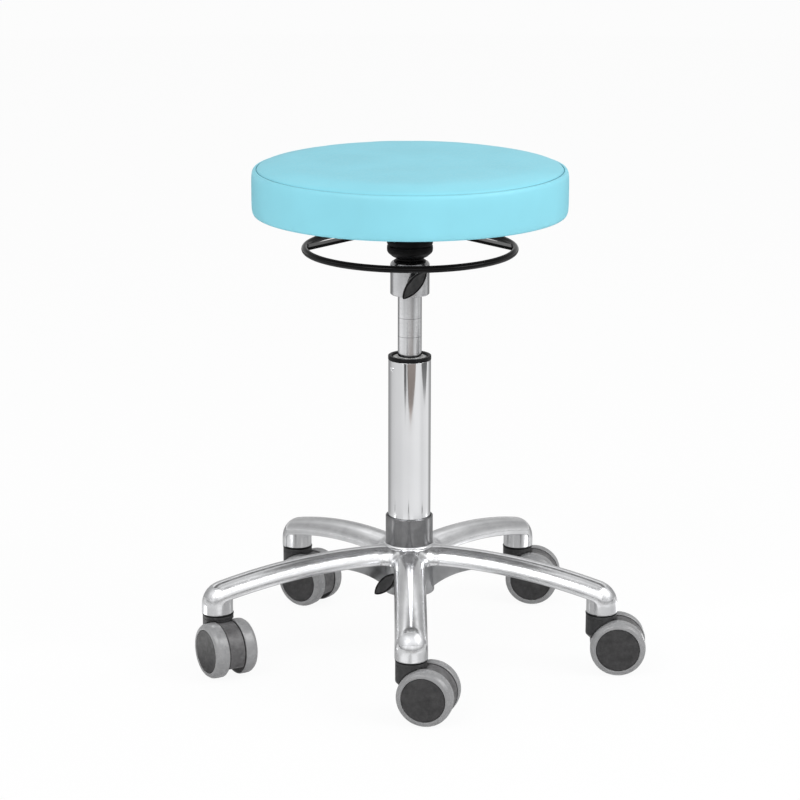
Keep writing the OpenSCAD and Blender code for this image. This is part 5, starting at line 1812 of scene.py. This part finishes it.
def reflected_surface(name, rows, tones, material):
    """Surface through rows of points, each point with its tone, that only mirror-like surfaces show."""
    count = len(rows[0])
    mesh = bpy.data.meshes.new(name)
    mesh.from_pydata([p for row in rows for p in row], [],
                     [(j * count + k, j * count + k + 1, (j + 1) * count + k + 1, (j + 1) * count + k)
                      for j in range(len(rows) - 1) for k in range(count - 1)])
    mesh.materials.append(material)
    layer = mesh.attributes.new("tone", "FLOAT", "POINT")
    layer.data.foreach_set("value", [tone for row in tones for tone in row])
    surface = linked(name, mesh)
    surface.visible_camera = False
    surface.visible_diffuse = False
    surface.visible_transmission = False
    surface.visible_shadow = False


class STOOL_OT_stage(bpy.types.Operator):
    """Make the floor, the lamps, the white surroundings and the camera"""
    bl_idname = "stool.stage"
    bl_label = "Stage"

    def execute(self, context):
        self.floor()
        self.surroundings(context)
        self.lamps(context)
        self.room()
        self.camera(context)
        context.scene.view_settings.view_transform = "Standard"
        return {"FINISHED"}

    @staticmethod
    def seen_directly(tree):
        """1 for what the camera sees straight, mirrored or through glass."""
        path = tree.nodes.new("ShaderNodeLightPath")
        total = path.outputs["Is Camera Ray"]
        for name in ("Is Glossy Ray", "Is Transmission Ray"):
            add = tree.nodes.new("ShaderNodeMath")
            add.operation = "MAXIMUM"
            tree.links.new(total, add.inputs[0])
            tree.links.new(path.outputs[name], add.inputs[1])
            total = add.outputs[0]
        return total

    def floor(self):
        size = 16.0
        mesh = bpy.data.meshes.new("floor")
        mesh.from_pydata([(-size, -size, 0), (size, -size, 0), (size, size, 0), (-size, size, 0)], [],
                         [(0, 1, 2, 3)])
        material = bpy.data.materials.new("pale floor")
        material.use_nodes = True
        tree = material.node_tree
        shader = node_of(tree, "BSDF_PRINCIPLED")
        shader.inputs["Base Color"].default_value = (0.92, 0.92, 0.92, 1.0)
        shader.inputs["Roughness"].default_value = 0.8
        glow = tree.nodes.new("ShaderNodeEmission")
        glow.inputs["Color"].default_value = (1.0, 1.0, 1.0, 1.0)
        share = tree.nodes.new("ShaderNodeMath")
        share.operation = "MULTIPLY"
        share.inputs[1].default_value = 0.93
        tree.links.new(self.seen_directly(tree), share.inputs[0])
        mix = tree.nodes.new("ShaderNodeMixShader")
        tree.links.new(share.outputs[0], mix.inputs[0])
        tree.links.new(shader.outputs[0], mix.inputs[1])
        tree.links.new(glow.outputs[0], mix.inputs[2])
        output = node_of(tree, "OUTPUT_MATERIAL")
        tree.links.new(mix.outputs[0], output.inputs["Surface"])
        mesh.materials.append(material)
        linked("floor", mesh)

    def surroundings(self, context):
        world = bpy.data.worlds.new("white surroundings")
        context.scene.world = world
        world.use_nodes = True
        tree = world.node_tree
        glow = node_of(tree, "BACKGROUND")
        glow.inputs["Color"].default_value = (1.0, 1.0, 1.0, 1.0)
        strength = tree.nodes.new("ShaderNodeMapRange")
        strength.inputs["To Min"].default_value = context.scene.stool_studio.ambient
        strength.inputs["To Max"].default_value = 1.0
        tree.links.new(self.seen_directly(tree), strength.inputs["Value"])
        tree.links.new(strength.outputs["Result"], glow.inputs["Strength"])

    @staticmethod
    def lamps(context):
        studio = context.scene.stool_studio
        aim, size = Vector((0, 0, 0.35)), 1.8
        for name, place, power in (("key lamp", (-1.6, -2.2, 2.6), studio.key),
                                   ("fill lamp", (2.2, -0.9, 2.3), studio.fill)):
            data = bpy.data.lights.new(name, "AREA")
            data.energy = power
            data.size = size
            lamp = linked(name, data)
            lamp.location = place
            lamp.rotation_euler = (aim - Vector(place)).to_track_quat("-Z", "Y").to_euler()

    @staticmethod
    def room():
        """Grey tones of a room, on a dome over the stool and on the floor, that only bright metal
        shows."""
        material = room_finish("room tones", (1.0, 1.0, 1.0))
        warm = room_finish("warm room tones", (1.0, 0.87, 0.80))
        azimuths = range(-180, 181, 3)
        rises = [row[0] for row in ROOM_TONES]
        reflected_surface("room_dome", [[dome_point(a, rise) for a in azimuths] for rise in rises],
                          [[room_tone(a, rise) for a in azimuths] for rise in rises], material)
        reflected_surface("room_floor", [[floor_point(a, d) for a in azimuths] for d in FLOOR_DISTANCES],
                          [[floor_tone(a, d) for a in azimuths] for d in FLOOR_DISTANCES], material)
        steps = [i / 12 for i in range(13)]
        for name, rows in FLOOR_WEDGES:
            points = [[floor_point(first + (last - first) * t, distance, WEDGE_Z) for t in steps]
                      for first, last, distance, tone in rows]
            reflected_surface(name, points, [[row[3]] * len(steps) for row in rows],
                              warm if name == "wedge middle" else material)
        reflected_surface("shade_under_seat",
                          [[floor_point(a, ring, SHADE_Z) for a in azimuths] for ring in SHADE_RINGS],
                          [[SHADE_TONE] * len(azimuths)] * len(SHADE_RINGS), material)

    @staticmethod
    def camera(context):
        """Camera where the photograph was taken from."""
        heading, pitch, roll = -0.0075, math.radians(14.405), math.radians(0.10)
        data = bpy.data.cameras.new("camera")
        data.sensor_width = 36.0
        data.lens = 126.86
        data.clip_end = 50.0
        camera = linked("camera", data)
        turn = Matrix.Rotation(heading, 4, "Z")
        place = turn @ Vector((-0.01125, -3.20639, 1.13163))
        aim = Matrix.Rotation(math.pi / 2 - pitch, 4, "X") @ Matrix.Rotation(roll, 4, "Z")
        camera.matrix_world = Matrix.Translation(place) @ turn @ aim
        context.scene.camera = camera


class STOOL_PT_panel(bpy.types.Panel):
    """Sizes, colours and makers of the stool"""
    bl_idname = "STOOL_PT_panel"
    bl_label = "Work stool"
    bl_space_type = "VIEW_3D"
    bl_region_type = "UI"
    bl_category = "Stool"

    def draw(self, context):
        for group in (context.scene.stool_seat, context.scene.stool_base, context.scene.stool_castor,
                      context.scene.stool_studio):
            box = self.layout.box()
            for name in group.__annotations__:
                box.prop(group, name)
        for operator in MAKERS:
            self.layout.operator(operator.bl_idname)


GROUPS = {"stool_seat": StoolSeat, "stool_base": StoolBase, "stool_castor": StoolCastor,
          "stool_studio": StoolStudio}
MAKERS = (STOOL_OT_stage, STOOL_OT_inner, STOOL_OT_base, STOOL_OT_castors, STOOL_OT_column,
          STOOL_OT_spring, STOOL_OT_lever, STOOL_OT_screws, STOOL_OT_seat)


def register():
    for name, group in GROUPS.items():
        bpy.utils.register_class(group)
        setattr(bpy.types.Scene, name, PointerProperty(type=group))
    for cls in (*MAKERS, STOOL_PT_panel):
        bpy.utils.register_class(cls)


def unregister():
    for cls in reversed((*MAKERS, STOOL_PT_panel)):
        bpy.utils.unregister_class(cls)
    for name, group in GROUPS.items():
        delattr(bpy.types.Scene, name)
        bpy.utils.unregister_class(group)


def main():
    register()
    bpy.ops.stool.stage()
    bpy.ops.stool.inner()
    bpy.ops.stool.base()
    bpy.ops.stool.castors()
    bpy.ops.stool.column()
    bpy.ops.stool.spring()
    bpy.ops.stool.lever()
    bpy.ops.stool.screws()
    bpy.ops.stool.seat()


if __name__ == "__main__":
    main()
